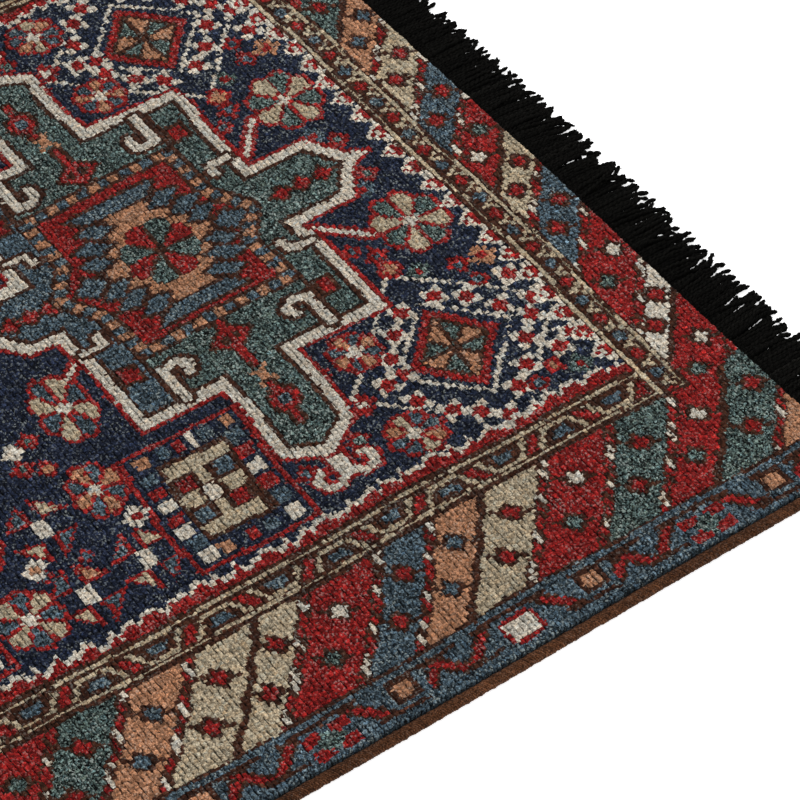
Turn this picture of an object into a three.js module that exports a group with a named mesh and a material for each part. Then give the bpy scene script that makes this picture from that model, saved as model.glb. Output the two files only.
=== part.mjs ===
// A hand-knotted wool area rug: a woven foundation, a pile of knots in colour zones,
// overcast selvages down both long sides and a sewn-on black fringe at both ends.
// Millimetres, +Z up. The rug lies on Z = 0, its length runs along Y, and the origin is
// at the middle of its underside. Side a is +X, side b is -X, end a is +Y, end b is -Y.
import * as THREE from 'three';

// Overall sizes
const RUG_WIDTH = 1220; // over both selvages
const PILE_LENGTH = 1830; // without the fringes
const FRINGE_LENGTH = 65;

// Layers
const FOUNDATION_THICKNESS = 3.5;
const PILE_HEIGHT = 7.7;
const GAP = 0.3; // clearance between pieces that touch

// Widths of the zones, from the edges of the rug inwards
const SELVAGE_WIDTH = 12;
const SELVAGE_HEIGHT = 8;
const OUTER_GUARD_WIDTH = 53; // on the long sides only
const MAIN_BORDER_WIDTH = { side: 115, end: 61 };
const INNER_GUARD_WIDTH = { side: 41, end: 34 };
const SAWTOOTH_WIDTH = { side: 24, end: 24 };

// Selvage and fringe pieces
const WRAP_THICKNESS = 1.3;
const TAPE_WIDTH = 25;
const TAPE_THICKNESS = 1.5;
const THREAD_WIDTH = 1;
const FRINGE_THICKNESS = 4.2;
const FRINGE_ROOT_WIDTH = 5;
const CORD_PAIR_PITCH = 13;
const CORD_PAIR_SPACE = 3; // open width between two pairs of cords
const CORD_UNEVENNESS = 4; // how much shorter the shortest cords are
const HINGE_CLEARANCE = 0.6; // from the end of the pile to the first of the cords

// The field's chart: its half width, the distance between the centres of two medallions,
// and from the last centre to the end of the field. A medallion is drawn in one quarter,
// as [across the rug, along the rug] from its centre.
const MEDALLION_COUNT = 3;
const CHART_HALF_WIDTH = 365;
const CHART_REPEAT = 546;
const CHART_END = 250;
const MEDALLION_QUARTER = [
  [0, 245],
  [46, 200],
  [46, 136],
  [187, 136],
  [187, 37],
  [284, 37],
  [306, 12],
  [350, 12],
];
const BOX_QUARTER = [
  [0, 124],
  [32, 92],
  [112, 92],
];

const COLOURS = {
  navy: 0x2a3350,
  teal: 0x466460,
  blue: 0x506681,
  red: 0x9a2a33,
  ivory: 0xc9c1b6,
  camel: 0xac7d62,
  beige: 0xa39a80,
  brown: 0x5a3b2c,
  cotton: 0xb9ae98,
  black: 0x101012,
};

// Places worked out from the sizes
const HALF_WIDTH = RUG_WIDTH / 2;
const HALF_LENGTH = PILE_LENGTH / 2;
const FOUNDATION_HALF_WIDTH = HALF_WIDTH - SELVAGE_WIDTH - GAP;
const PILE_BOTTOM = FOUNDATION_THICKNESS + GAP;
const PILE_TOP = PILE_BOTTOM + PILE_HEIGHT;
const SIDES = { a: 1, b: -1 };

const rug = new THREE.Group();

function addPiece(name, geometry, colour, roughness = 0.95) {
  const material = new THREE.MeshStandardMaterial({
    color: COLOURS[colour],
    roughness,
    metalness: 0,
  });
  const mesh = new THREE.Mesh(geometry, material);
  mesh.name = name;
  rug.add(mesh);
}

// Solids

// A closed outline, anticlockwise as ExtrudeGeometry needs when it has holes.
function polygon(points) {
  const ordered = signedArea(points) > 0 ? points : [...points].reverse();
  return new THREE.Shape(ordered.map(([x, y]) => new THREE.Vector2(x, y)));
}

// A plate with this outline and these holes, from height low to height high.
function plate(outline, low, high, holes = []) {
  const shape = polygon(outline);
  shape.holes = holes.map(polygon);
  const geometry = new THREE.ExtrudeGeometry(shape, { depth: high - low, bevelEnabled: false });
  return geometry.translate(0, 0, low);
}

function rectangle(x0, x1, y0, y1) {
  return [
    [x0, y0],
    [x1, y0],
    [x1, y1],
    [x0, y1],
  ];
}

// A bar along X whose section is drawn in Y and Z.
function barAlongX(shape, length) {
  const geometry = new THREE.ExtrudeGeometry(shape, { depth: length, bevelEnabled: false });
  const turn = new THREE.Matrix4().makeBasis(
    new THREE.Vector3(0, 1, 0),
    new THREE.Vector3(0, 0, 1),
    new THREE.Vector3(1, 0, 0),
  );
  return geometry.applyMatrix4(turn).translate(-length / 2, 0, 0);
}

// A bar along Y whose section is drawn in X and Z.
function barAlongY(shape, length) {
  const geometry = new THREE.ExtrudeGeometry(shape, {
    depth: length,
    bevelEnabled: false,
    curveSegments: 6,
  });
  return geometry.rotateX(Math.PI / 2).translate(0, length / 2, 0);
}

// A flat oval: a rectangle with a half circle at each short end.
function ovalPath(Path, centreX, centreZ, width, height) {
  const radius = height / 2;
  const reach = width / 2 - radius;
  const path = new Path();
  path.absarc(centreX + reach, centreZ, radius, -Math.PI / 2, Math.PI / 2, false);
  path.absarc(centreX - reach, centreZ, radius, Math.PI / 2, (3 * Math.PI) / 2, false);
  path.closePath();
  return path;
}

// Outlines

// The upper half of a motif, from its left end to its right end, in the size of this rug.
// Its quarter starts on the middle line.
function upperHalf(quarter, scaleX, scaleY) {
  const right = quarter.map(([x, y]) => [x * scaleX, y * scaleY]);
  const left = right.slice(1).map(([x, y]) => [-x, y]);
  return [...left.reverse(), ...right];
}

function wholeOutline(half) {
  const lower = half.map(([x, y]) => [x, -y]).reverse();
  return [...half, ...lower];
}

function signedArea(points) {
  return points.reduce((sum, [x, y], i) => {
    const [nextX, nextY] = points[(i + 1) % points.length];
    return sum + (x * nextY - nextX * y) / 2;
  }, 0);
}

// The outline moved outwards by a distance, with sharp corners.
function grown(points, distance) {
  const outward = Math.sign(signedArea(points));
  const normalOf = ([x0, y0], [x1, y1]) => {
    const length = Math.hypot(x1 - x0, y1 - y0);
    return [((y1 - y0) / length) * outward, ((x0 - x1) / length) * outward];
  };
  return points.map((point, i) => {
    const before = points[(i + points.length - 1) % points.length];
    const after = points[(i + 1) % points.length];
    const [ax, ay] = normalOf(before, point);
    const [bx, by] = normalOf(point, after);
    const share = distance / (1 + ax * bx + ay * by);
    return [point[0] + (ax + bx) * share, point[1] + (ay + by) * share];
  });
}

function shifted(points, y) {
  return points.map(([x, pointY]) => [x, pointY + y]);
}

// The woven base, thinner at its two ends, where the fringe tapes are sewn under it.
function makeFoundation() {
  const step = TAPE_WIDTH + THREAD_WIDTH + 2 * GAP;
  const raised = TAPE_THICKNESS + GAP;
  const profile = [
    [-HALF_LENGTH, raised],
    [-HALF_LENGTH + step, raised],
    [-HALF_LENGTH + step, 0],
    [HALF_LENGTH - step, 0],
    [HALF_LENGTH - step, raised],
    [HALF_LENGTH, raised],
    [HALF_LENGTH, FOUNDATION_THICKNESS],
    [-HALF_LENGTH, FOUNDATION_THICKNESS],
  ];
  addPiece('foundation', barAlongX(polygon(profile), 2 * FOUNDATION_HALF_WIDTH), 'cotton');
}

// Four strips of pile round a frame. The side strips run its full length, and the end
// strips lie between them. Returns the half width and half length left inside.
function makePileFrame(name, outer, width, colour) {
  const innerX = outer.x - width.side;
  const innerY = outer.y - width.end;
  for (const [side, sign] of Object.entries(SIDES)) {
    const [x0, x1] = [innerX * sign, outer.x * sign].sort((p, q) => p - q);
    const [y0, y1] = [innerY * sign, outer.y * sign].sort((p, q) => p - q);
    const along = rectangle(x0, x1, -outer.y, outer.y);
    const across = rectangle(-innerX + GAP, innerX - GAP, y0, y1);
    addPiece(`${name}_side_${side}`, plate(along, PILE_BOTTOM, PILE_TOP), colour);
    addPiece(`${name}_end_${side}`, plate(across, PILE_BOTTOM, PILE_TOP), colour);
  }
  return { x: innerX - GAP, y: innerY - GAP };
}

function makeOuterGuards() {
  const outer = FOUNDATION_HALF_WIDTH;
  const inner = outer - OUTER_GUARD_WIDTH;
  for (const [side, sign] of Object.entries(SIDES)) {
    const [x0, x1] = [inner * sign, outer * sign].sort((p, q) => p - q);
    const outline = rectangle(x0, x1, -HALF_LENGTH, HALF_LENGTH);
    addPiece(`outer_guard_side_${side}`, plate(outline, PILE_BOTTOM, PILE_TOP), 'blue');
  }
  return { x: inner - GAP, y: HALF_LENGTH };
}

// A medallion and the box at its heart, for each repeat of the field.
function makeMedallions(names, centres, medallion, box) {
  names.forEach((name, i) => {
    const outline = shifted(wholeOutline(medallion), centres[i]);
    const heart = shifted(wholeOutline(box), centres[i]);
    const hole = grown(heart, GAP);
    addPiece(`medallion_${name}`, plate(outline, PILE_BOTTOM, PILE_TOP, [hole]), 'teal');
    addPiece(`medallion_box_${name}`, plate(heart, PILE_BOTTOM, PILE_TOP), 'red');
  });
}

// The ground of the field in bands that meet at the centre line of each medallion.
function makeFieldGround(field, centres, medallion) {
  const upper = grown(wholeOutline(medallion), GAP).slice(0, medallion.length);
  const [leftTip, rightTip] = [upper[0], upper[upper.length - 1]];
  const edges = [-field.y, ...centres, field.y];
  const ways = [...upper].reverse();
  for (let i = 0; i + 1 < edges.length; i += 1) {
    const low = i === 0 ? edges[i] : edges[i] + GAP / 2;
    const high = i + 2 === edges.length ? edges[i + 1] : edges[i + 1] - GAP / 2;
    const above = [
      [leftTip[0], low],
      ...shifted(upper, edges[i]),
      [rightTip[0], low],
    ];
    const below = [
      [rightTip[0], high],
      ...ways.map(([x, y]) => [x, edges[i + 1] - y]),
      [leftTip[0], high],
    ];
    const outline = [
      [-field.x, low],
      ...(i === 0 ? [] : above),
      [field.x, low],
      [field.x, high],
      ...(i + 2 === edges.length ? [] : below),
      [-field.x, high],
    ];
    addPiece(`field_ground_${i + 1}`, plate(outline, PILE_BOTTOM, PILE_TOP), 'navy');
  }
}

// A bundle of edge warps with the wool yarn that is wound over it.
function makeSelvages() {
  const centreZ = SELVAGE_HEIGHT / 2;
  const inset = 2 * WRAP_THICKNESS;
  for (const [side, sign] of Object.entries(SIDES)) {
    const centreX = (HALF_WIDTH - SELVAGE_WIDTH / 2) * sign;
    const wrap = ovalPath(THREE.Shape, centreX, centreZ, SELVAGE_WIDTH, SELVAGE_HEIGHT);
    const bore = ovalPath(
      THREE.Path,
      centreX,
      centreZ,
      SELVAGE_WIDTH - inset,
      SELVAGE_HEIGHT - inset,
    );
    wrap.holes = [bore];
    const core = ovalPath(
      THREE.Shape,
      centreX,
      centreZ,
      SELVAGE_WIDTH - inset - 2 * GAP,
      SELVAGE_HEIGHT - inset - 2 * GAP,
    );
    addPiece(`selvage_wrap_${side}`, barAlongY(wrap, PILE_LENGTH), 'brown');
    addPiece(`selvage_core_${side}`, barAlongY(core, PILE_LENGTH), 'cotton');
  }
}

// The woven heading of each fringe, under the end of the foundation, and the thread that
// sews its inner edge down.
function makeTapes() {
  for (const [end, sign] of Object.entries(SIDES)) {
    const outer = HALF_LENGTH - GAP;
    const inner = outer - TAPE_WIDTH;
    const [y0, y1] = [inner * sign, outer * sign].sort((p, q) => p - q);
    const tape = rectangle(-FOUNDATION_HALF_WIDTH, FOUNDATION_HALF_WIDTH, y0, y1);
    addPiece(`fringe_tape_${end}`, plate(tape, 0, TAPE_THICKNESS), 'black');

    const [radius, strands] = [THREAD_WIDTH / 2, 8];
    const centre = [(inner - GAP / 2 - radius) * sign, GAP + radius];
    const section = new THREE.Shape();
    section.setFromPoints(
      Array.from({ length: strands }, (_, i) => {
        const angle = (i / strands) * 2 * Math.PI;
        const reach = radius - GAP / 4;
        return new THREE.Vector2(
          centre[0] + reach * Math.cos(angle),
          centre[1] + reach * Math.sin(angle),
        );
      }),
    );
    const length = 2 * (FOUNDATION_HALF_WIDTH - TAPE_THICKNESS);
    addPiece(`fringe_stitching_${end}`, barAlongX(section, length), 'black');
  }
}

// The cords of each fringe, two to a finger, lying on the floor. They turn up and back
// over the pile about a line along the top edge of the end.
function makeFringes() {
  const count = Math.round((2 * FOUNDATION_HALF_WIDTH) / CORD_PAIR_PITCH);
  const pitch = (2 * FOUNDATION_HALF_WIDTH) / count;
  for (const [end, sign] of Object.entries(SIDES)) {
    const near = HALF_LENGTH + HINGE_CLEARANCE;
    const root = near + FRINGE_ROOT_WIDTH;
    const points = [[-FOUNDATION_HALF_WIDTH, near]];
    for (let i = 0; i < count; i += 1) {
      const middle = -FOUNDATION_HALF_WIDTH + (i + 0.5) * pitch;
      const half = (pitch - CORD_PAIR_SPACE) / 2;
      const short = (CORD_UNEVENNESS * (1 + Math.sin(i * i * 1.7))) / 2;
      const tip = HALF_LENGTH + FRINGE_LENGTH - (i % 7 === 3 ? 0 : short);
      points.push([middle - half, root], [middle - half, tip], [middle + half, tip]);
      points.push([middle + half, root]);
    }
    points.push([FOUNDATION_HALF_WIDTH, root], [FOUNDATION_HALF_WIDTH, near]);
    points.splice(1, 0, [-FOUNDATION_HALF_WIDTH, root]);
    const outline = points.map(([x, y]) => [x, y * sign]);
    addPiece(`fringe_${end}`, plate(outline, 0, FRINGE_THICKNESS), 'black');
  }
}

makeFoundation();
makeSelvages();
const border = makeOuterGuards();
const innerGuard = makePileFrame('main_border', border, MAIN_BORDER_WIDTH, 'camel');
const sawtooth = makePileFrame('inner_guard', innerGuard, INNER_GUARD_WIDTH, 'beige');
const field = makePileFrame('sawtooth_edge', sawtooth, SAWTOOTH_WIDTH, 'ivory');

const scaleX = field.x / CHART_HALF_WIDTH;
const scaleY = field.y / (CHART_END + ((MEDALLION_COUNT - 1) / 2) * CHART_REPEAT);
const medallion = upperHalf(MEDALLION_QUARTER, scaleX, scaleY);
const box = upperHalf(BOX_QUARTER, scaleX, scaleY);
const centres = Array.from({ length: MEDALLION_COUNT }, (_, i) => {
  return (i - (MEDALLION_COUNT - 1) / 2) * CHART_REPEAT * scaleY;
});
makeMedallions(['b', 'centre', 'a'], centres, medallion, box);
makeFieldGround(field, centres, medallion);
makeTapes();
makeFringes();

export default rug;
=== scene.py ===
"""A hand-knotted wool area rug on a pale floor.

The pile is a grid of knots. A weaver's chart, drawn below in knots, gives each knot its
yarn. Row positions ("along") count weft rows towards end a (+Y), and knot positions
("across") count warps towards side a (+X). Lengths are in metres.
"""
import math

import bpy
import numpy as np
from mathutils import Matrix, Vector


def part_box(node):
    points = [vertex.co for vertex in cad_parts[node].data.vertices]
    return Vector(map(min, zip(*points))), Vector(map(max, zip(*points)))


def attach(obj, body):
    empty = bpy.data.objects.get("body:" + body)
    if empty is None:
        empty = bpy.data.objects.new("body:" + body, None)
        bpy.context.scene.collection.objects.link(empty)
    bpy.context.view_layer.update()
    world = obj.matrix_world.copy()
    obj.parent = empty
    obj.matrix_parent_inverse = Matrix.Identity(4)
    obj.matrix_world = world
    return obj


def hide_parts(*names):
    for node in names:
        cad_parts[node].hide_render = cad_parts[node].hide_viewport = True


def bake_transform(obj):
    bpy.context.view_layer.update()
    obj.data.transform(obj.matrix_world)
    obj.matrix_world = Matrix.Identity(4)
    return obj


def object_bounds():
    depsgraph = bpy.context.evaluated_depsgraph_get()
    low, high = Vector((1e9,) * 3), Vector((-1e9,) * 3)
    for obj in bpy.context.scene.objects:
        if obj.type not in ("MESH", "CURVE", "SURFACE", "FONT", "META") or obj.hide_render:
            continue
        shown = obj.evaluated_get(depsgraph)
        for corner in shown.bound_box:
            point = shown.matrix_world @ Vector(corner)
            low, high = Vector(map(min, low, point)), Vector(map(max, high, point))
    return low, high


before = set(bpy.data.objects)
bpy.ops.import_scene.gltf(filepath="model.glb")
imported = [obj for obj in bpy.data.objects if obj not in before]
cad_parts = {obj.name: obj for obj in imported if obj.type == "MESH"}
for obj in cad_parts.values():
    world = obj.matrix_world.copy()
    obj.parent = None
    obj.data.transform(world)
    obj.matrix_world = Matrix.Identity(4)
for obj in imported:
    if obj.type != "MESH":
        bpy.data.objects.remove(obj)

CAD_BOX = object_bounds()

# ---------------------------------------------------------------- sizes
KNOT_ACROSS = 0.0044
KNOT_ALONG = 0.0053
SIDES = {"a": 1, "b": -1}


def top(node, axis):
    """The highest X, Y or Z (0, 1 or 2) of a CAD node."""
    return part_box(node)[1][axis]


X_EDGE = top("outer_guard_side_a", 0)
X_BORDER = top("main_border_side_a", 0)
X_GUARD = top("inner_guard_side_a", 0)
X_SAWTOOTH = top("sawtooth_edge_side_a", 0)
X_FIELD = top("field_ground_1", 0)
Y_END = top("main_border_end_a", 1)
Y_GUARD = top("inner_guard_end_a", 1)
Y_SAWTOOTH = top("sawtooth_edge_end_a", 1)
Y_FIELD = top("field_ground_4", 1)
Y_MEDALLION = (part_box("medallion_a")[0][1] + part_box("medallion_a")[1][1]) / 2
PILE_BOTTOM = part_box("main_border_side_a")[0][2]
PILE_TOP = top("main_border_side_a", 2)

COLUMNS = round(2 * X_EDGE / KNOT_ACROSS)
ROWS = round(2 * Y_END / KNOT_ALONG)
ACROSS = 2 * X_EDGE / COLUMNS  # the pitch that fills the width exactly
ALONG = 2 * Y_END / ROWS
STEPS_ALONG = 3  # mesh steps in each knot, along the rug
STEPS_ACROSS = 2
ROW_SHARES = np.array([0.22, 0.5, 0.78])  # where in its row each step takes its pattern

# ---------------------------------------------------------------- yarns
NAVY, TEAL, BLUE, RED, IVORY, CAMEL, BEIGE, BROWN = range(8)
# Each yarn's colour, how far its tufts spread around that as a share of it, and how
# strongly its fibres differ in shade, from 0 to 1, which also sets how strong the painted glints and
# painted shade on its fibre ends are
YARN_BOOK = (
    ((0.0120, 0.0170, 0.0340), 0.40, 0.70),  # navy
    ((0.0710, 0.1040, 0.0960), 0.42, 1.00),  # teal
    ((0.0570, 0.0860, 0.1080), 0.36, 0.85),  # blue
    ((0.2150, 0.0110, 0.0100), 0.32, 0.55),  # red
    ((0.5000, 0.4480, 0.3700), 0.13, 0.42),  # ivory
    ((0.3450, 0.1650, 0.0900), 0.20, 0.50),  # camel
    ((0.3650, 0.2950, 0.2000), 0.16, 0.48),  # beige
    ((0.0430, 0.0150, 0.0080), 0.38, 0.35),  # brown
)
YARN_COLOURS, YARN_HEATHER, YARN_SPECKLE = (np.array(column) for column in zip(*YARN_BOOK))
SELVAGE_COLOUR = np.array([0.096, 0.038, 0.0170])
BLACK = np.array([0.0046, 0.0044, 0.0038])


# ---------------------------------------------------------------- the chart
class Chart:
    """The yarn of each mesh step, with the place of each step in rows and knots."""

    def __init__(self, rows, columns):
        along = (np.arange(rows)[:, None] + ROW_SHARES).ravel() - rows / 2
        across = (np.arange(columns * STEPS_ACROSS) + 0.5) / STEPS_ACROSS - columns / 2
        self.along, self.across = np.meshgrid(along, across, indexing="ij")
        self.yarn = np.full(self.along.shape, NAVY)
        self.knots = ((rows, STEPS_ALONG), (columns, STEPS_ACROSS))

    def patch(self, along, across, reach, flip=(1, 1)):
        """The part of the chart within reach of a point, seen from that point."""
        spans = []
        for middle, extent, (count, steps) in zip((along, across), reach, self.knots):
            low = max(0, int(middle + count / 2 - extent)) * steps
            high = min(count, int(middle + count / 2 + extent) + 1) * steps
            spans.append(slice(low, max(low, high)))
        rows, columns = spans
        u = (self.along[rows, columns] - along) * flip[0]
        v = (self.across[rows, columns] - across) * flip[1]
        return Patch(self.yarn[rows, columns], u, v)


class Patch:
    """Part of a chart to draw on. u runs along the rug and v across it."""

    def __init__(self, cells, u, v):
        self.cells = cells
        self.u = u
        self.v = v

    def moved(self, u, v):
        return Patch(self.cells, self.u - u, self.v - v)

    def flipped(self, side_u, side_v):
        return Patch(self.cells, self.u * side_u, self.v * side_v)

    def fill(self, where, yarn):
        self.cells[where] = yarn

    def inside(self, points):
        """Which knots lie inside a closed outline."""
        hit = np.zeros(self.u.shape, bool)
        for (u0, v0), (u1, v1) in zip(points, points[1:] + points[:1]):
            if v0 != v1:
                crosses = (v0 > self.v) != (v1 > self.v)
                hit ^= crosses & (self.u < (u1 - u0) * (self.v - v0) / (v1 - v0) + u0)
        return hit

    def polygon(self, points, yarn):
        self.fill(self.inside(points), yarn)

    def box(self, u0, u1, v0, v1, yarn):
        where = (self.u >= u0) & (self.u < u1) & (self.v >= v0) & (self.v < v1)
        self.fill(where, yarn)

    def disc(self, u, v, reach_u, reach_v, yarn):
        self.fill(np.hypot((self.u - u) / reach_u, (self.v - v) / reach_v) <= 1, yarn)

    def diamond(self, u, v, reach_u, reach_v, yarn):
        self.fill(abs(self.u - u) / reach_u + abs(self.v - v) / reach_v <= 1, yarn)

    def line(self, points, yarn, width=1.2):
        """A run of straight stitches through the points."""
        for (u0, v0), (u1, v1) in zip(points, points[1:]):
            du, dv = u1 - u0, v1 - v0
            share = ((self.u - u0) * du + (self.v - v0) * dv) / (du * du + dv * dv)
            share = share.clip(0, 1)
            gap = np.hypot(self.u - u0 - share * du, self.v - v0 - share * dv)
            self.fill(gap <= width / 2, yarn)

    def edged_line(self, points, edge, yarn, edge_width, width):
        """A line of one yarn with an edge of another."""
        self.line(points, edge, edge_width)
        self.line(points, yarn, width)


# ---------------------------------------------------------------- motifs
def rosette(p, u, v, reach_u, reach_v, petals, outline=RED, heart=IVORY, turn=0.0, count=8):
    """A round flower whose petals take these yarns in turn, with a line between them."""
    q = p.moved(u, v)
    radius = np.hypot(q.u / reach_u, q.v / reach_v)
    angle = np.arctan2(q.v / reach_v, q.u / reach_u) / (2 * math.pi) * count + turn
    off_middle = abs(angle - np.round(angle)) * 2  # 0 at a petal's middle, 1 between two
    rim = 1 - 0.15 * off_middle**2
    knots = (reach_u + reach_v) / 2
    to_rim = (rim - radius) * knots
    to_line = (1 - off_middle) * radius * knots * math.pi / count
    q.fill(radius <= rim, outline)
    petal = (to_rim > 1.0) & (to_line > 0.42)
    for i, yarn in enumerate(petals):
        q.fill(petal & (np.round(angle).astype(int) % len(petals) == i), yarn)
    if heart is not None:
        q.box(-1.6, 1.6, -0.6, 0.6, heart)
        q.box(-0.6, 0.6, -1.7, 1.7, heart)


def star(p, u, v, points, heart, reach):
    """A small flower with eight points round its heart."""
    q = p.moved(u, v)
    q.line([(-reach, 0), (reach, 0)], points, 1.5)
    q.line([(0, -reach * 1.25), (0, reach * 1.25)], points, 1.5)
    q.line([(-reach * 0.6, -reach * 0.75), (reach * 0.6, reach * 0.75)], points, 1.0)
    q.line([(-reach * 0.6, reach * 0.75), (reach * 0.6, -reach * 0.75)], points, 1.0)
    q.box(-0.8, 0.8, -1, 1, heart)


def stars(p, places):
    for place in places:
        star(p, *place)


def blossom(p, u, v):
    """A red diamond between four ivory corners."""
    q = p.moved(u, v)
    q.box(-2.2, 2.2, -2.8, 2.8, IVORY)
    for side in (-1, 1):
        q.box(side * 2.2 - 0.5, side * 2.2 + 0.5, -0.8, 0.8, NAVY)
        q.box(-0.6, 0.6, side * 2.8 - 0.6, side * 2.8 + 0.6, NAVY)
    q.diamond(0, 0, 1.8, 2.3, RED)


def flower_cross(p, u, v, yarns, size):
    """Four three-cornered petals on a red cross, round an ivory heart."""
    q = p.moved(u, v)
    corners = [(-1, -1), (1, -1), (-1, 1), (1, 1)]
    for (side_u, side_v), yarn in zip(corners, yarns):
        q2 = q.flipped(side_u / size, side_v / size)
        q2.polygon([(1.0, 2.6), (6.4, 2.6), (1.0, 9.6)], RED)
        q2.polygon([(1.9, 3.4), (4.9, 3.4), (1.9, 7.8)], yarn)
    q.line([(-1.2 * size, 0), (1.2 * size, 0)], NAVY, 3)
    q.box(-1.1, 1.1, -2.5, 2.5, IVORY)


def square(p, u, v, yarn, half_u, half_v, edge=None):
    if edge is not None:
        p.box(u - half_u - 1, u + half_u + 1, v - half_v - 1, v + half_v + 1, edge)
    p.box(u - half_u, u + half_u, v - half_v, v + half_v, yarn)


# ---------------------------------------------------------------- medallion
ARM_SHIFT = -1.4  # the arm across the rug is a little off the middle


def medallion_outline(long_arm):
    """The outer edge of the ivory band, starting at the long arm's tip."""
    right = [(46, 0), (42, 2.5), (37.5, 11), (25.6, 11.2), (25.6, 42.8), (6.4, 42.8), (6.4, 66)]
    left = [(-9.4, 66), (-9.4, 42.8), (-25.8, 42.8), (-25.8, 10.6), (-long_arm + 9, 10.4)]
    half = right + [(ARM_SHIFT + 0.6, 71.5), (ARM_SHIFT - 0.6, 71.5)] + left
    half = half + [(-long_arm + 4, 2.5), (-long_arm, 0)]
    return half + [(u, -v) for u, v in reversed(half[1:-1])]


def shrunk(points, by_u, by_v):
    """A blocky outline moved inwards, for edges that lie along rows, knots or diagonals."""
    count = len(points)
    area = sum(
        points[i][0] * points[(i + 1) % count][1] - points[(i + 1) % count][0] * points[i][1]
        for i in range(count)
    )
    turn = 1 if area > 0 else -1
    result = []
    for i, (u, v) in enumerate(points):
        normals = []
        for (u0, v0), (u1, v1) in ((points[i - 1], (u, v)), ((u, v), points[(i + 1) % count])):
            length = math.hypot(u1 - u0, v1 - v0) or 1
            normals.append((-(v1 - v0) / length * turn, (u1 - u0) / length * turn))
        (au, av), (bu, bv) = normals
        share = 1 / max(0.35, 1 + au * bu + av * bv)
        result.append((u + (au + bu) * share * by_u, v + (av + bv) * share * by_v))
    return result


def horns(p):
    """The forked tip of the arm across the rug."""
    q = p.moved(ARM_SHIFT, 0)
    left = [(-0.6, 70), (-0.7, 77.5), (-2.6, 79.6), (-4.9, 79), (-5.6, 76), (-4.2, 74.8)]
    stem = [(0, 70), (0, 78)]
    for yarn, horn_width, stem_width in ((RED, 3.4, 3.8), (IVORY, 1.7, 2.2)):
        for end in (1, -1):
            q.flipped(end, 1).line(left, yarn, horn_width)
        q.line(stem, yarn, stem_width)


def hook(p, sign_u, sign_v):
    """A cane-shaped hook that stands on the ivory band and turns towards the middle."""
    cane = [(15.2, 40), (15.2, 30.4), (12.2, 29.8), (10.6, 31.6), (11.2, 34)]
    p.flipped(sign_u, sign_v).edged_line(cane, BROWN, IVORY, 4.0, 2.0)


def small_hook(p, sign_u, sign_v):
    """A short hook on the band beside the box."""
    bend = [(24, 16.6), (20, 16.4), (19.6, 13.4)]
    p.flipped(sign_u, sign_v).edged_line(bend, BROWN, IVORY, 3.6, 1.7)


def stem_motif(p, sign_v):
    """The red diamond and flower on a stem in the arm across the rug."""
    q = p.moved(ARM_SHIFT, 0).flipped(1, sign_v)
    q.line([(0.2, 25.5), (0, 41)], BROWN, 2.6)
    for reach_u, reach_v, yarn in ((5.2, 4.8, BROWN), (4.2, 3.9, RED), (2.4, 2.4, BROWN)):
        q.diamond(0.2, 31.6, reach_u, reach_v, yarn)
    q.box(-0.5, 0.9, 30.9, 32.4, BLUE)
    q.line([(0.2, 26), (0, 41)], RED, 1.1)
    q.line([(-1.6, 42.5), (1.2, 47)], CAMEL, 1.1)
    q.line([(1.4, 42), (-1.8, 47.4)], CAMEL, 1.1)
    q.line([(-0.6, 47.5), (-0.6, 60)], BROWN, 2.8)
    for reach_u, reach_v, yarn in ((3.4, 4.2, BROWN), (2.6, 3.2, RED), (1.4, 1.7, BLUE)):
        q.disc(-0.6, 53, reach_u, reach_v, yarn)
    q.line([(-0.6, 47.5), (-0.6, 50)], RED, 1.1)
    q.line([(-0.6, 56), (-0.6, 60)], RED, 1.1)


def chain(p, places):
    """Small red diamonds strung along the long arm."""
    p.line([(places[0] - 2, 0.5), (places[-1] + 2, 0.5)], BROWN, 1.4)
    for u in places:
        p.diamond(u, 0.5, 2.6, 3.2, BROWN)
        p.diamond(u, 0.5, 1.9, 2.1, RED)


def dashes(p, points, yarns, step, width):
    """Short bars of these yarns in turn, along a closed line."""
    done = 0.0
    for (u0, v0), (u1, v1) in zip(points, points[1:] + points[:1]):
        length = math.hypot(u1 - u0, v1 - v0)
        share = ((p.u - u0) * (u1 - u0) + (p.v - v0) * (v1 - v0)) / length**2
        gap = np.hypot(p.u - u0 - share * (u1 - u0), p.v - v0 - share * (v1 - v0))
        near = (gap <= width / 2) & (share >= 0) & (share <= 1)
        place = (done + share * length) / step
        bar = place % 1 > 0.12
        for i, yarn in enumerate(yarns):
            p.fill(near & bar & (np.floor(place).astype(int) % len(yarns) == i), yarn)
        done += length


def barber_pole(p):
    """The box's edge: short camel and blue bars on brown, with a point at each end."""
    outer = [(-17.8, -27.2), (17.6, -27.2), (17.6, -9.5), (22.4, -1), (22.4, 1), (17.6, 9.5)]
    outer += [(17.6, 25.8), (-17.8, 25.8), (-17.8, 9.5), (-22.4, 1), (-22.4, -1), (-17.8, -9.5)]
    p.polygon(outer, BROWN)
    dashes(p, shrunk(outer, 2.0, 2.0), (CAMEL, BLUE), 2.3, 2.3)
    p.polygon(shrunk(outer, 3.1, 3.5), BROWN)
    p.polygon(shrunk(outer, 3.7, 4.1), RED)


def lozenge(p, u, v, reach_u, reach_v, slant):
    """A blue diamond in a brown one, both leaning by a slant."""
    q = p.moved(u, v)
    q = Patch(q.cells, q.u, q.v - slant * q.u)
    q.diamond(0, 0, reach_u + 2.0, reach_v + 1.9, BROWN)
    q.diamond(0, 0, reach_u + 0.9, reach_v + 0.8, BLUE)


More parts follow.
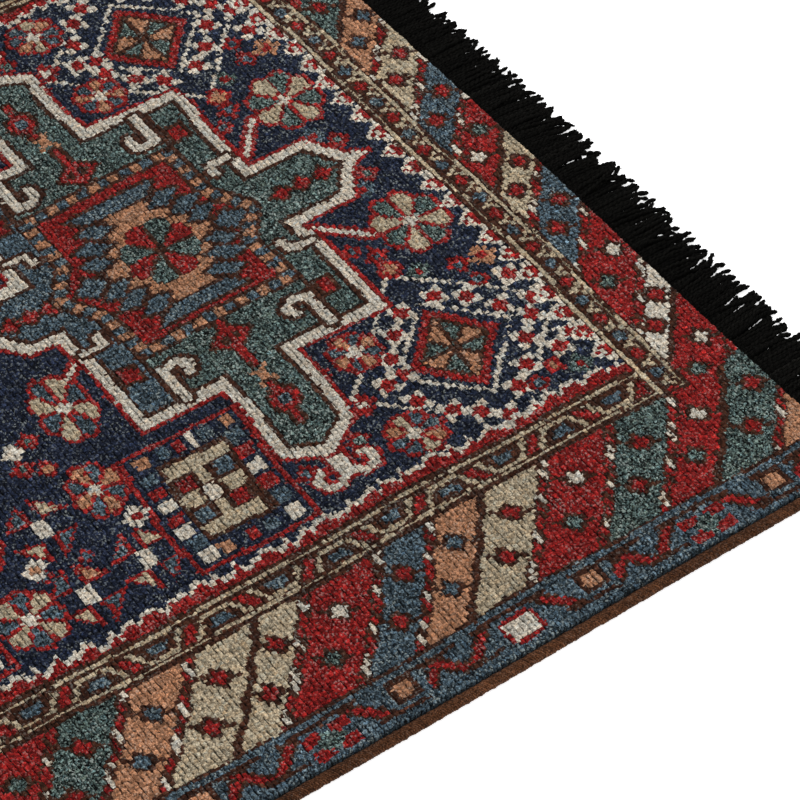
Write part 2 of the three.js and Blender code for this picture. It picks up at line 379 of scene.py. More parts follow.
def box_filling(p):
    """Camel steps and blue serrations between the red frame and the rosette."""
    for side in (1, -1):
        q = p.flipped(1, side)
        q.polygon([(-10.6, 20.6), (10.4, 20.6), (7.4, 15), (-7.4, 15)], BROWN)
        q.polygon([(-9.2, 19.8), (9.0, 19.8), (6.6, 16), (-6.6, 16)], BLUE)
    p.polygon([(-8, -16), (8, -16), (8, 16), (-8, 16)], BROWN)
    middle = p.moved(0.8, 0)
    middle.disc(0, 0, 13, 11.5, BROWN)
    for side in (1, -1):
        q = middle.flipped(1, side)
        q.box(-4.2, 4.4, 8, 15.4, CAMEL)
        q.box(-6.8, 7, 4, 11.4, CAMEL)
        q.box(-9, 9, 1.4, 7, CAMEL)
        q.box(-11.2, 11.4, -1.4, 1.6, CAMEL)
    for end in (1, -1):
        for side in (1, -1):
            q = middle.flipped(end, side)
            lozenge(q, 7.4, 13.4, 2.6, 1.7, 0.35)
            lozenge(q, 10.0, 9.0, 2.8, 1.7, 0.35)
            lozenge(q, 11.2, 4.6, 2.3, 1.6, 0.35)
        lozenge(middle.flipped(end, 1), 14.8, 0.6, 2.4, 2.5, 0)


def heart_rosette(p):
    q = p.moved(1.0, 0.4)
    radius = np.hypot(q.u / 7.6, q.v / 10.2)
    degrees = np.degrees(np.arctan2(-q.v * ACROSS, q.u * ALONG)) + 2.5
    sector = degrees / 45
    middle = np.floor(sector) + 0.5
    across_petal = abs(sector - middle) * 2
    rim = 1 - 0.14 * across_petal**3
    q.fill(radius <= rim, BROWN)
    petal = (radius <= rim - 0.03) & ((1 - across_petal) * radius > 0.10) & (radius > 0.12)
    teal = np.floor(sector).astype(int) % 2 == 1
    q.fill(petal & teal, TEAL)
    q.fill(petal & ~teal, RED)


def medallion(p, ground=TEAL, side_ground=BLUE, long_arm=40):
    outline = medallion_outline(long_arm)
    for side in (1, -1):
        horns(p.flipped(1, side))
    p.polygon(shrunk(outline, -0.9, -0.9), RED)
    p.polygon(outline, IVORY)
    p.polygon(shrunk(outline, 2.0, 2.8), BROWN)
    inner = p.inside(shrunk(outline, 2.9, 3.8))
    p.fill(inner, ground)
    p.fill(inner & (p.u < -17) & (abs(p.v) < 40), side_ground)
    for side in (1, -1):
        q = p.flipped(1, side)
        q.line([(17, 24), (17, 39)], BROWN)
        q.line([(-17, 24), (-17, 39)], BROWN)
        square(q, -20.6, 27.4, RED, 1.5, 2.0, BROWN)
        square(q, 19.6, 30, RED, 1.3, 2.1, BROWN)
        stem_motif(p, side)
        for end in (1, -1):
            hook(p, end, side)
            small_hook(p, end, side)
    chain(p, [27, 31.5, 36])
    chain(p, [-30.6, -26.6, -22.8])
    barber_pole(p)
    box_filling(p)
    heart_rosette(p)


# ---------------------------------------------------------------- field motifs
BLOSSOMS = (
    (-11.3, 0), (-7.6, -10.6), (-3.6, -15), (3.6, -15), (8.2, -10.8), (12, -4.4), (-14.6, 1),
    (-12.2, 8.2), (-8.6, 14.4), (-5, 18.2), (15.8, 1.2), (12, 6.6), (8.2, 13), (4, 17.2),
    (-11.2, -5), (18.2, -2.6), (19.4, 10.6), (17.6, -11.4), (15.6, 12.6), (-1.4, 22.4),
)


def lattice(p):
    """Ivory zigzags and blossoms round a red-edged diamond of petals."""
    q = p.moved(29.6, 61.6)
    for ring_u, ring_v in ((12.4, 15.0), (21.5, 26)):
        edge = abs(abs(q.u) / ring_u + abs(q.v) / ring_v - 1) * ring_u
        dotted = (np.floor(q.u) + np.floor(q.v)) % 4 != 0
        q.fill((edge < 0.62) & dotted & (q.u < 20.5), IVORY)
    for place in BLOSSOMS:
        blossom(q, *place)
    q.diamond(0, 0, 9.6, 13, RED)
    q.diamond(0, 0, 7.6, 10.4, BROWN)
    degrees = np.degrees(np.arctan2(-q.v * ACROSS, q.u * ALONG))
    sector = degrees / 45 + 0.1
    between = abs(sector - np.round(sector)) * 2
    size = abs(q.u) / 6.6 + abs(q.v) / 9.2
    petal = (size < 1) & (between * size > 0.17)
    camel = np.floor(sector).astype(int) % 2 == 0
    q.fill(petal & camel, CAMEL)
    q.fill(petal & ~camel, TEAL)


END_STARS = (
    (31, 29.4, RED, BLUE, 2.0), (35, 38.4, TEAL, RED, 1.7), (27.8, 25, RED, BLUE, 1.3),
    (41.6, 41.8, RED, BLUE, 1.8), (46.4, 42.4, CAMEL, RED, 2.2), (42.2, 48, RED, BLUE, 1.4),
    (39.6, -10.5, BLUE, RED, 2.0), (43, 6.5, RED, TEAL, 1.8), (9, 64.4, RED, IVORY, 2.2),
    (4, 72, RED, TEAL, 1.7), (45.4, 81, TEAL, RED, 2.0), (36.8, 80.6, RED, BLUE, 1.5),
)


def end_quarter(p):
    """What lies between the medallion and the corner at an end of the field."""
    lattice(p)
    p.edged_line([(26.5, 14), (33.5, 23.5)], RED, IVORY, 3.2, 1.1)
    stars(p, END_STARS)
    rosette(p, 41.2, 24.6, 7.6, 10.6, (TEAL, BEIGE), turn=0.5)
    rosette(p, 31, 34.4, 2.6, 3.0, (CAMEL, IVORY), heart=CAMEL, count=4)
    rosette(p, 14, 50.6, 5.4, 6.6, (CAMEL, BLUE, CAMEL, BLUE), turn=0.4)
    rosette(p, 12.8, 77.2, 5.8, 7.0, (BLUE, CAMEL, BEIGE, BLUE), turn=0.2)
    square(p, 41.3, 78, CAMEL, 0.8, 1.2, RED)


COMB_BARS = (
    (-28.2, -16, 54.4, 57.6), (-28.4, -16.8, 71.8, 75.4), (-23.4, -21.4, 57, 62),
    (-23.6, -21.6, 67.6, 72), (-28.4, -24.6, 63, 67), (-20.4, -16.4, 63, 67),
)
COMB_SQUARES = (
    (-25.8, 60.4, RED, 1.6, 1.8), (-18.4, 60.2, BLUE, 1.6, 1.9),
    (-26.2, 69.4, BLUE, 1.5, 1.7), (-19, 69.4, RED, 1.6, 1.7),
)
FRAME_SQUARES = (  # on the box's two short sides
    (-30.4, 50.4, CAMEL), (-26.2, 50.4, BLUE), (-23, 50.4, RED), (-17.6, 50.4, BLUE),
    (-13, 50.4, CAMEL), (-27.4, 79.2, CAMEL), (-22.2, 79.2, RED), (-18.6, 79.2, BLUE),
)


def comb_box(p):
    """A thin red frame of small squares round a brown panel with beige bars."""
    p.line([(-34, 47.4), (-10.6, 47.8), (-10.8, 83), (-34, 82.2), (-34, 47.4)], RED, 1.1)
    p.box(-29, -15, 53, 76.4, BROWN)
    for bar in COMB_BARS:
        p.box(*bar, BEIGE)
    p.box(-23.8, -21.4, 62.8, 67.2, IVORY)
    for place in COMB_SQUARES:
        square(p, *place)
    for i, yarn in enumerate((BLUE, RED, IVORY, RED, IVORY, BLUE, IVORY)):
        square(p, -30.9, 55.4 + 3.95 * i, yarn, 1.5, 1.6)
    for i, yarn in enumerate((BLUE, RED, IVORY, RED, BLUE, IVORY)):
        square(p, -13.6, 54.6 + 4.9 * i, yarn, 1.6, 1.9)
    for place in FRAME_SQUARES:
        square(p, *place, 1.2, 1.6)
    p.line([(-20.3, 48.6), (-20.3, 52.4)], IVORY)


MIDDLE_STARS = (
    (-46.4, 32, IVORY, IVORY, 1.5), (-43, 31, RED, TEAL, 1.4), (-46.8, 37, RED, TEAL, 1.7),
    (-43.4, 39.8, RED, CAMEL, 1.5), (-36.4, 61.6, IVORY, RED, 1.9),
    (-47.5, 64.5, RED, BLUE, 1.0), (-7.6, 73, RED, BLUE, 1.7),
)


def middle_quarter(p, rose):
    """What lies between two medallions, from the first to halfway."""
    comb_box(p)
    p.edged_line([(-26.4, 17.6), (-30, 21)], RED, IVORY, 3.0, 1.0)
    rosette(p, -34, 27.6, 5.8, 11.2, (BLUE, BEIGE), turn=0.4)
    rosette(p, -39.4, 50.8, 5.2, 8.6, (CAMEL, BLUE), turn=0.3)
    stars(p, MIDDLE_STARS)
    if rose:
        rosette(p, -41, 73, 6.4, 8.8, (BLUE, BEIGE), turn=0.2)
        star(p, -46.6, 62, IVORY, CAMEL, 1.8)
    else:
        flower_cross(p, -39.4, 72.2, (BLUE, BEIGE, BEIGE, BLUE), 0.92)


HALFWAY_STARS = ((0, 26, IVORY, RED, 2.0), (0, 12, RED, CAMEL, 2.2), (0, 0, CAMEL, RED, 2.4))


def halfway_flowers(p):
    """The flower crosses on the line halfway between two medallions."""
    flower_cross(p, 0, 53.4, (BLUE, BEIGE, BEIGE, BLUE), 0.95)
    flower_cross(p, 0, 73.4, (BLUE, CAMEL, BEIGE, BLUE), 0.95)
    stars(p, HALFWAY_STARS)


# ---------------------------------------------------------------- borders
STRIPE_SLOPE = 0.727  # rows for each knot across, which makes about 45 degrees
SIDE_STRIPES = (
    (BEIGE, 13.0), (BEIGE, 9.5), (RED, 15.0), (BLUE, 11.0), (CAMEL, 10.5), (BEIGE, 12.5),
    (RED, 14.5), (TEAL, 13.0), (RED, 11.0), (TEAL, 13.0), (CAMEL, 12.0),
)
SIDE_STRIPES_START = 26.7
END_STRIPES = (
    (RED, 10.5), (BEIGE, 9.5), (BLUE, 12.4), (RED, 15.9), (IVORY, 8.0), (RED, 14.3),
    (TEAL, 12.0), (CAMEL, 11.0), (BEIGE, 12.0), (BLUE, 12.0),
)
END_STRIPES_START = 68.0


def stripe_edges(stripes, start, low, high):
    """Each stripe that meets the range, as (yarn, where it starts, where it ends)."""
    total = sum(width for _, width in stripes)
    edge = start + total * math.floor((low - start) / total)
    found = []
    while edge < high:
        for yarn, width in stripes:
            if edge + width > low and edge < high:
                found.append((yarn, edge, edge + width))
            edge += width
    return found


MOTIF_YARNS = {yarn: (RED, RED) for yarn in (BLUE, BEIGE, TEAL, IVORY)}
MOTIF_YARNS.update({RED: (TEAL, IVORY), CAMEL: (BLUE, BLUE)})


def stripe_motif(p, u, v, yarn):
    """A small diamond flower in a stripe, with a hooked brown edge."""
    q = p.moved(u, v)
    q.diamond(0, 0, 2.5, 3.3, BROWN)
    q.line([(1.6, 1.2), (3.0, 1.6)], BROWN, 0.9)
    q.line([(-1.6, -1.2), (-2.8, -2.4)], BROWN, 0.9)
    q.diamond(0, 0, 1.6, 2.1, yarn)


DASH_ROWS = 1.4
DASHES = (RED, IVORY, IVORY, RED, RED, IVORY, RED, RED, RED, IVORY, RED)


def stripes(p, where, kinds, start, places):
    """Diagonal stripes over part of the chart, with a dotted line between most of them.

    places are the lines that their motifs lie on, as an axis and a place on it.
    """
    slope_place = p.u + STRIPE_SLOPE * p.v + 0.35 * np.sin(p.v * 0.9)
    bands = stripe_edges(kinds, start, slope_place[where].min(), slope_place[where].max())
    area = Patch(p.cells.copy(), p.u, p.v)
    for yarn, edge, end in bands:
        area.fill((slope_place >= edge) & (slope_place < end), yarn)
    row = np.floor(p.u / DASH_ROWS).astype(int)
    for number, (yarn, edge, end) in enumerate(bands):
        middle = (edge + end) / 2
        for i, (axis, at) in enumerate(places):
            if axis == "u":
                spot = (at, (middle - at) / STRIPE_SLOPE)
            else:
                spot = (middle - at * STRIPE_SLOPE, at)
            stripe_motif(area, *spot, MOTIF_YARNS[yarn][(i + number) % 2])
        off = slope_place - end
        plain = number % 4 == 3
        area.fill(abs(off) < (0.9 if plain else 1.35), BROWN)
        dash = (p.u / DASH_ROWS % 1 > 0.34) & (abs(off) < 0.85) & (not plain)
        for i, dash_yarn in enumerate(DASHES):
            area.fill(dash & ((row + number * 3) % len(DASHES) == i), dash_yarn)
    p.fill(where, area.cells[where])


def side_guard(p, where, depth, s):
    """The inner guard along a side: depth counts knots from the field outwards.

    Blue hearts lie in brown bays that open to one edge and then the other, and a slanting
    red leaf lies between two bays.
    """
    period = 11.6
    number = np.round(s / period)
    off = abs(s - number * period)
    level = np.clip((depth - 3.0) / 4.6, 0, 1)
    from_mouth = np.where(number % 2 == 0, level, 1 - level)
    p.fill(where, BROWN)
    p.fill(where & (depth > 1.2) & (depth < 2.0), BEIGE)
    p.fill(where & (depth > 8.2) & (depth < 8.9), BEIGE)
    pattern = where & (depth > 2.9) & (depth < 7.6)
    p.fill(pattern, BEIGE)
    bay = off + from_mouth * 1.8
    p.fill(pattern & (bay < 4.0) & (from_mouth < 0.8), BROWN)
    p.fill(pattern & (bay < 2.4) & (from_mouth > 0.12) & (from_mouth < 0.62), BLUE)
    leaf = abs(off - period / 2 - 2.6 * (0.5 - from_mouth))
    p.fill(pattern & (leaf < 1.7), BROWN)
    p.fill(pattern & (leaf < 1.0) & (level > 0.08) & (level < 0.92), RED)


def end_guard(p, where, depth, s):
    """The inner guard along an end: depth counts rows from the field outwards."""
    period = 6.5
    place = (s / period % 1 - 0.5) * period
    odd = np.floor(s / period).astype(int) % 2 == 1
    p.fill(where, BROWN)
    p.fill(where & (depth > 0.6) & (depth < 1.3), BEIGE)
    p.fill(where & (depth > 5.2) & (depth < 5.9), BEIGE)
    pattern = where & (depth > 1.9) & (depth < 4.9)
    slash = abs(abs(place) - 2.8 + (depth - 3.4) * 0.8)
    p.fill(pattern & (slash < 0.62), BEIGE)
    heart = abs(place) / 1.9 + abs(depth - 3.3) / 1.5 < 1
    p.fill(pattern & (abs(place) / 2.8 + abs(depth - 3.3) / 2.2 < 1), BROWN)
    p.fill(pattern & heart & ~odd, BLUE)
    p.fill(pattern & heart & odd, RED)


def sawtooth(p, where, depth, s, period, height):
    """Red teeth with ivory flames that point into the field."""
    wander = np.sin(s * 1.31) * 0.18 + np.sin(s * 0.37) * 0.2
    phase = (s / period + wander) % 1
    peak = np.where(phase < 0.55, phase / 0.55, (1 - phase) / 0.45)
    tip = height * (0.8 + 0.2 * np.sin(np.floor(s / period) * 2.3))
    level = depth - 0.4 - (1 - peak) * tip
    p.fill(where & (level > 0), IVORY)
    p.fill(where & (level > 1.3), RED)


def end_blossoms(p, where, depth, s):
    """Half blossoms on a dotted ivory edge, along an end of the field."""
    period = 7.0
    off = abs((s / period) % 1 - 0.5) * period
    edge = 4.5 - depth
    p.fill(where & (edge < 1.1) & (np.floor(s) % 3 != 0), IVORY)
    p.fill(where & (off / 3.2 + abs(edge - 0.9) / 3.0 < 1), IVORY)
    p.fill(where & (off / 2.2 + abs(edge - 0.7) / 2.2 < 1), RED)
    p.fill(where & (off < 0.8) & (edge > 1.0) & (edge < 1.9), IVORY)


GUARD_REPEAT = 38.0


def outer_guard(p, where, depth, s):
    """Light blue with brown broken lines, cartouches, blocks and slanted red strokes."""
    p.fill(where, BLUE)
    p.fill(where & (depth < 0.8), BROWN)
    number = np.floor((s - 2) / GUARD_REPEAT + 0.5).astype(int)
    place = s - 2 - number * GUARD_REPEAT  # rows from the nearest cartouche

    def bar(low, high, near, far, yarn):
        inside = (place >= low) & (place < high) & (depth >= near) & (depth < far)
        p.fill(where & inside, yarn)

    def stroke(at, lean, yarn):
        off = abs(place - at - lean * (depth - 6.2))
        p.fill(where & (off < 1.7) & (depth > 3.2) & (depth < 9.4), BROWN)
        p.fill(where & (off < 0.95) & (depth > 3.8) & (depth < 8.8), yarn)

    bar(-19, -11, 2.2, 3.2, BROWN)
    bar(-8, 7.5, 2.2, 3.2, BROWN)
    bar(12, 19, 2.2, 3.0, BROWN)
    bar(8, 18, 9.4, 10.4, BROWN)
    bar(-13, -5, 9.2, 10.2, BROWN)
    stroke(-8.2, -0.85, RED)
    stroke(7.6, 0.85, RED)
    bar(12.2, 17.4, 3.0, 8.2, BROWN)
    bar(13.2, 16.6, 3.8, 7.4, CAMEL)
    stroke(-17.6, -0.75, RED)
    stroke(-14.4, 0.75, RED)
    even = number % 2 == 0
    frame_reach = np.maximum(abs(place) / 4.2, abs(depth - 7.6) / 3.5)
    p.fill(where & (frame_reach < 1), RED)
    p.fill(where & (frame_reach < 1) & (frame_reach > 0.8) & (abs(place) > 2.6) & even, BLUE)
    heart = (abs(place) < 2.9) & (abs(depth - 7.6) < 2.4)
    p.fill(where & heart & even, IVORY)
    cross = (abs(place) < 0.9) | (abs(depth - 7.6) < 0.9)
    p.fill(where & (frame_reach < 1) & cross & ~even, BLUE)
    p.fill(where & heart & ~even & (abs(place) + abs(depth - 7.6) < 3.0), TEAL)


def draw_borders(chart, centre):
    """Everything outside the field, on the whole chart."""
    along, across = chart.along, chart.across
    x, y = abs(across) * ACROSS, abs(along) * ALONG
    p = Patch(chart.yarn, along - centre, across)
    side = np.sign(across)
    s_side = (along - centre) * side
    s_end = across * np.sign(along)

    in_field = (x < X_FIELD) & (y < Y_FIELD)
    depth_side = (x - X_FIELD) / ACROSS
    depth_end = (y - Y_FIELD) / ALONG
    saw_frame = (x < X_SAWTOOTH) & (y < Y_SAWTOOTH)
    nearer_side = depth_side > depth_end
    sawtooth(p, saw_frame & nearer_side, depth_side, s_side, 4.3, 3.4)
    end_blossoms(p, saw_frame & ~nearer_side, depth_end, s_end)
    p.fill(~in_field & ~saw_frame, BROWN)

    guard_frame = (x < X_GUARD) & (y < Y_GUARD) & ~saw_frame
    on_side = x > X_SAWTOOTH
    side_guard(p, guard_frame & on_side, (x - X_SAWTOOTH) / ACROSS, s_side + 1.5)
    end_guard(p, guard_frame & ~on_side, (y - Y_SAWTOOTH) / ALONG, s_end + 2.6)
    mitre = guard_frame & on_side & (y > Y_SAWTOOTH)
    end_guard(p, mitre, (y - Y_SAWTOOTH) / ALONG, s_end + 2.6)

    border = (x < X_BORDER) & ~(x < X_GUARD) | (y >= Y_GUARD) & (x < X_BORDER)
    ends = border & (x < X_GUARD)
    side_v = ((X_GUARD + X_BORDER) / 2) / ACROSS
    for sign in (1, -1):
        strip = border & ~ends & (side == sign)
        lines = [("v", sign * (side_v - 4.6)), ("v", sign * (side_v + 4.6))]
        stripes(p, strip, SIDE_STRIPES, SIDE_STRIPES_START, lines)
        strip = ends & (np.sign(along) == sign)
        end_u = (sign * (Y_GUARD + Y_END) / 2) / ALONG - centre
        lines = [("u", end_u - 2.4), ("u", end_u + 2.6)]
        stripes(p, strip, END_STRIPES, END_STRIPES_START, lines)
    rim = border & ((x - X_GUARD) / ACROSS < 0.9) & (y < Y_GUARD)
    p.fill(rim, BROWN)

    guard = x >= X_BORDER
    outer_guard(p, guard, (x - X_BORDER) / ACROSS, s_side)


def draw_field(chart, centre):
    """The medallions and all that lies between them. centre is the end medallion's row."""
    reach = (60, 92)
    for flip_v in (1, -1):
        for end in (1, -1):
            quarter = chart.patch(end * centre, 0.0, reach, (end, flip_v))
            end_quarter(quarter)
            middle_quarter(quarter, rose=False)
            middle_quarter(chart.patch(0.0, 0.0, reach, (-end, flip_v)), rose=True)
            halfway_flowers(chart.patch(end * centre / 2, 0.0, (12, 92), (end, flip_v)))
    medallion(chart.patch(centre, 0.0, reach))
    medallion(chart.patch(-centre, 0.0, reach, (-1, -1)))
    medallion(chart.patch(0.0, 0.0, reach), ground=RED, side_ground=BLUE)


def weavers_chart():
    chart = Chart(ROWS, COLUMNS)
    centre = Y_MEDALLION / ALONG
    wander_along = 0.45 * np.sin(chart.across * 0.083 + 1.0) + 0.3 * np.sin(chart.across * 0.21)
    wander_across = 0.45 * np.sin(chart.along * 0.071) + 0.3 * np.sin(chart.along * 0.173 + 2.0)
    chart.along = chart.along + wander_along
    chart.across = chart.across + wander_across
    draw_field(chart, centre)
    draw_borders(chart, centre)
    return chart.yarn


# ---------------------------------------------------------------- the cloth
VALLEY_WIDTH = 0.36  # of the narrow valley between two rows, as a share of a row
TUFT_DIP = 0.0002  # tuft tops lie this far under the pile's top on average
ROW_DIP = 0.0015  # the valley between two rows of knots
COLUMN_DIP = 0.0004  # and between two neighbouring knots
UNEVEN = 0.00045  # how far tufts stray up and down
SPREAD = 0.00042  # and across
EDGE_BULGE = 0.0007  # how far each knot swells past the valleys beside it at an edge
SIDE_DROP = 0.0012  # the outermost tufts lie this much lower along the sides
END_DROP = 0.0010  # and this much along the ends


def sway(x, y):
    """How far the rug's points lie from their ideal places: a hand-woven edge wavers."""
    dx = 0.0013 * np.sin(4.3 * y + 0.6) + 0.0008 * np.sin(12.1 * y + 2.0)
    dx = dx * (0.4 + abs(x)) + 0.0007 * np.sin(9.0 * y) * x
    dy = 0.0012 * np.sin(5.1 * x + 1.1) + 0.0007 * np.sin(14.0 * x)
    dz = 0.0005 + 0.0003 * np.sin(3.7 * x + 1.9 * y) + 0.0002 * np.sin(9.1 * y - 5.3 * x)
    return dx, dy, dz


def row_places():
    """How far along the rug each mesh step is: a row's ridge is wide and its valley narrow."""
    rows = np.arange(ROWS)[:, None] + np.array([0, VALLEY_WIDTH / 2, 1 - VALLEY_WIDTH / 2])
    return np.append(rows.ravel(), ROWS) * ALONG - Y_END


def ragged(rng, shape, reach):
    """Random numbers that change little from one knot to the next across the rug."""
    values = rng.normal(0, 1, shape)
    for _ in range(reach):
        values = (values + np.roll(values, 1, axis=1)) * 0.7071
    return values


def knot_grid():
    """The places of the mesh steps over the whole pile, and how deep in a gap each lies, by which
    the wool paints shade into the gaps.
    """
    rng = np.random.default_rng(31)
    rows, columns = ROWS * STEPS_ALONG + 1, COLUMNS * STEPS_ACROSS + 1
    y, x = np.meshgrid(row_places(), np.linspace(-X_EDGE, X_EDGE, columns), indexing="ij")
    row_gap = (np.arange(rows) % STEPS_ALONG == 0)[:, None] & np.ones((1, columns), bool)
    column_gap = (np.arange(columns) % STEPS_ACROSS == 0)[None, :] & np.ones((rows, 1), bool)
    opening = np.where(column_gap, 1.0, 0.5) + 0.36 * ragged(rng, x.shape, 1)
    opening = np.clip(opening, 0.0, 1.5)
    z = PILE_TOP - TUFT_DIP - ROW_DIP * row_gap * opening - COLUMN_DIP * column_gap
    z = z + rng.normal(0, UNEVEN, x.shape)
    gap = np.clip(row_gap * opening + column_gap * ~row_gap * rng.uniform(0, 0.55, x.shape), 0, 1)
    x = x + rng.normal(0, SPREAD, x.shape)
    y = y + rng.normal(0, SPREAD * 0.7, x.shape) + 0.0002 * ragged(rng, x.shape, 4)
    for end, sign in ((0, -1), (-1, 1)):
        x[:, end] = sign * (X_EDGE + np.where(row_gap[:, end], -EDGE_BULGE, EDGE_BULGE) / 2)
        z[:, end] -= SIDE_DROP
        y[end, :] = sign * (Y_END + np.where(column_gap[end], -EDGE_BULGE, EDGE_BULGE) / 2)
        z[end, :] -= END_DROP
    dx, dy, dz = sway(x, y)
    return np.stack([x + dx, y + dy, z + dz], axis=-1), gap


def step_yarns(yarns, rng):
    """The yarn of each mesh step's face. Tufts splay a little over their neighbours."""
    row, column = np.indices(yarns.shape)
    row = row + rng.normal(0.5, 0.3, yarns.shape)
    column = column + rng.normal(0.5, 0.3, yarns.shape)
    row = np.clip(row, 0, yarns.shape[0] - 1).astype(int)
    column = np.clip(column, 0, yarns.shape[1] - 1).astype(int)
    return yarns[row, column]


def over_steps(values):
    return np.repeat(np.repeat(values, STEPS_ALONG, axis=0), STEPS_ACROSS, axis=1)


def with_speckle(colours, speckle):
    """Adds a fourth number to each colour: how strongly its fibres differ in shade, which also sets
    the strength of the painted glints and painted shade on fibre ends.
    """
    speckle = np.broadcast_to(speckle, colours.shape[:-1])
    return np.concatenate([colours, speckle[..., None]], axis=-1)


def tuft_colours(yarns):
    """The colour of each mesh step's face: its yarn, with the unevenness of hand-dyed wool."""
    rng = np.random.default_rng(53)
    steps = step_yarns(yarns, rng)
    spread = YARN_HEATHER[steps]
    abrash = np.cumsum(rng.normal(0, 0.012, ROWS))
    abrash -= np.linspace(abrash[0], abrash[-1], ROWS)
    by_row = abrash + rng.normal(0, 0.05, ROWS)
    by_knot = over_steps(rng.normal(0, 0.35, (ROWS, COLUMNS)))
    shade = spread * (by_knot + 0.85 * rng.normal(0, 1, steps.shape)) - spread**2 * 0.42
    shade = np.exp(shade + over_steps(np.repeat(by_row[:, None], COLUMNS, axis=1)))
    warmth = rng.normal(0, 0.05, steps.shape)
    tint = np.stack([1 + warmth, np.ones_like(warmth), 1 - warmth], axis=-1)
    colours = np.clip(YARN_COLOURS[steps] * tint * shade[..., None], 0.0012, 0.9)
    return with_speckle(colours, YARN_SPECKLE[steps])


def new_object(name, points, faces):
    mesh = bpy.data.meshes.new(name)
    mesh.from_pydata(points, [], faces)
    mesh.polygons.foreach_set("use_smooth", [True] * len(mesh.polygons))
    mesh.update()
    piece = bpy.data.objects.new(name, mesh)
    bpy.context.scene.collection.objects.link(piece)
    return piece


MAP_RIM = 0.02  # the share of a bake map kept round its edges for walls and ends


def paint(piece, face_colours):
    """Writes one colour for each face into the colour attribute that the wools read."""
    mesh = piece.data
    sizes = np.zeros(len(mesh.polygons), int)
    mesh.polygons.foreach_get("loop_total", sizes)
    layer = mesh.color_attributes.new("yarn", "FLOAT_COLOR", "CORNER")
    layer.data.foreach_set("color", np.repeat(face_colours, sizes, axis=0).ravel())


def bake_map(piece, corners):
    """Gives the piece a flat map for its colours, named OFBake."""
    layer = piece.data.uv_layers.new(name="OFBake")
    layer.data.foreach_set("uv", np.asarray(corners, np.float32).ravel())


def slab_map(piece, rows, columns, rim, first_back):
    """The front fills most of the map, the walls lie round it and the back in a strip beside it."""
    mesh = piece.data
    share = np.stack(np.indices((rows, columns)), axis=-1) / (rows - 1, columns - 1)
    front = MAP_RIM + share * (1 - 3 * MAP_RIM, 1 - 2 * MAP_RIM)
    wall = share[rim] * (1 - MAP_RIM, 1)
    strip = share[rim] * (MAP_RIM * 0.8, 1) + (1 - MAP_RIM * 0.9, 0)
    front_and_wall = np.concatenate([front.reshape(-1, 2), wall])
    back = np.concatenate([front.reshape(-1, 2), strip])
    vertex = np.zeros(len(mesh.loops), int)
    mesh.loops.foreach_get("vertex_index", vertex)
    sizes = np.zeros(len(mesh.polygons), int)
    mesh.polygons.foreach_get("loop_total", sizes)
    on_back = np.repeat(np.arange(len(sizes)) >= first_back, sizes)
    bake_map(piece, np.where(on_back[:, None], back[vertex], front_and_wall[vertex]))


def tube_map(count, steps, sides):
    """One upright band of the map for each tube, with its two ends above and below."""
    tube, step, side = np.meshgrid(range(count), range(steps - 1), range(sides), indexing="ij")
    corners = []
    for ahead, around in ((0, 0), (1, 0), (1, 1), (0, 1)):
        u = (tube + (side + around) / sides) / count
        v = MAP_RIM + (step + ahead) / (steps - 1) * (1 - 2 * MAP_RIM)
        corners.append(np.stack([u, v], axis=-1))
    walls = np.stack(corners, axis=-2).reshape(-1, 2)
    tube, side = np.meshgrid(range(count), range(sides), indexing="ij")
    u = (tube + side / sides) / count
    end = np.stack([u, (side % 2) * MAP_RIM * 0.8], axis=-1).reshape(-1, 2)
    return np.concatenate([walls, end, (0, 1) + end * (1, -1)])


# The gap values darken the wool: painted shade in the pile's gaps, the selvage's grooves, the cords'
# plies and towards the back of slab walls; on the rug's underside they vary at random.
def mark_gaps(piece, values):
    layer = piece.data.attributes.new("gap", "FLOAT", "POINT")
    layer.data.foreach_set("value", np.asarray(values, np.float32).ravel())


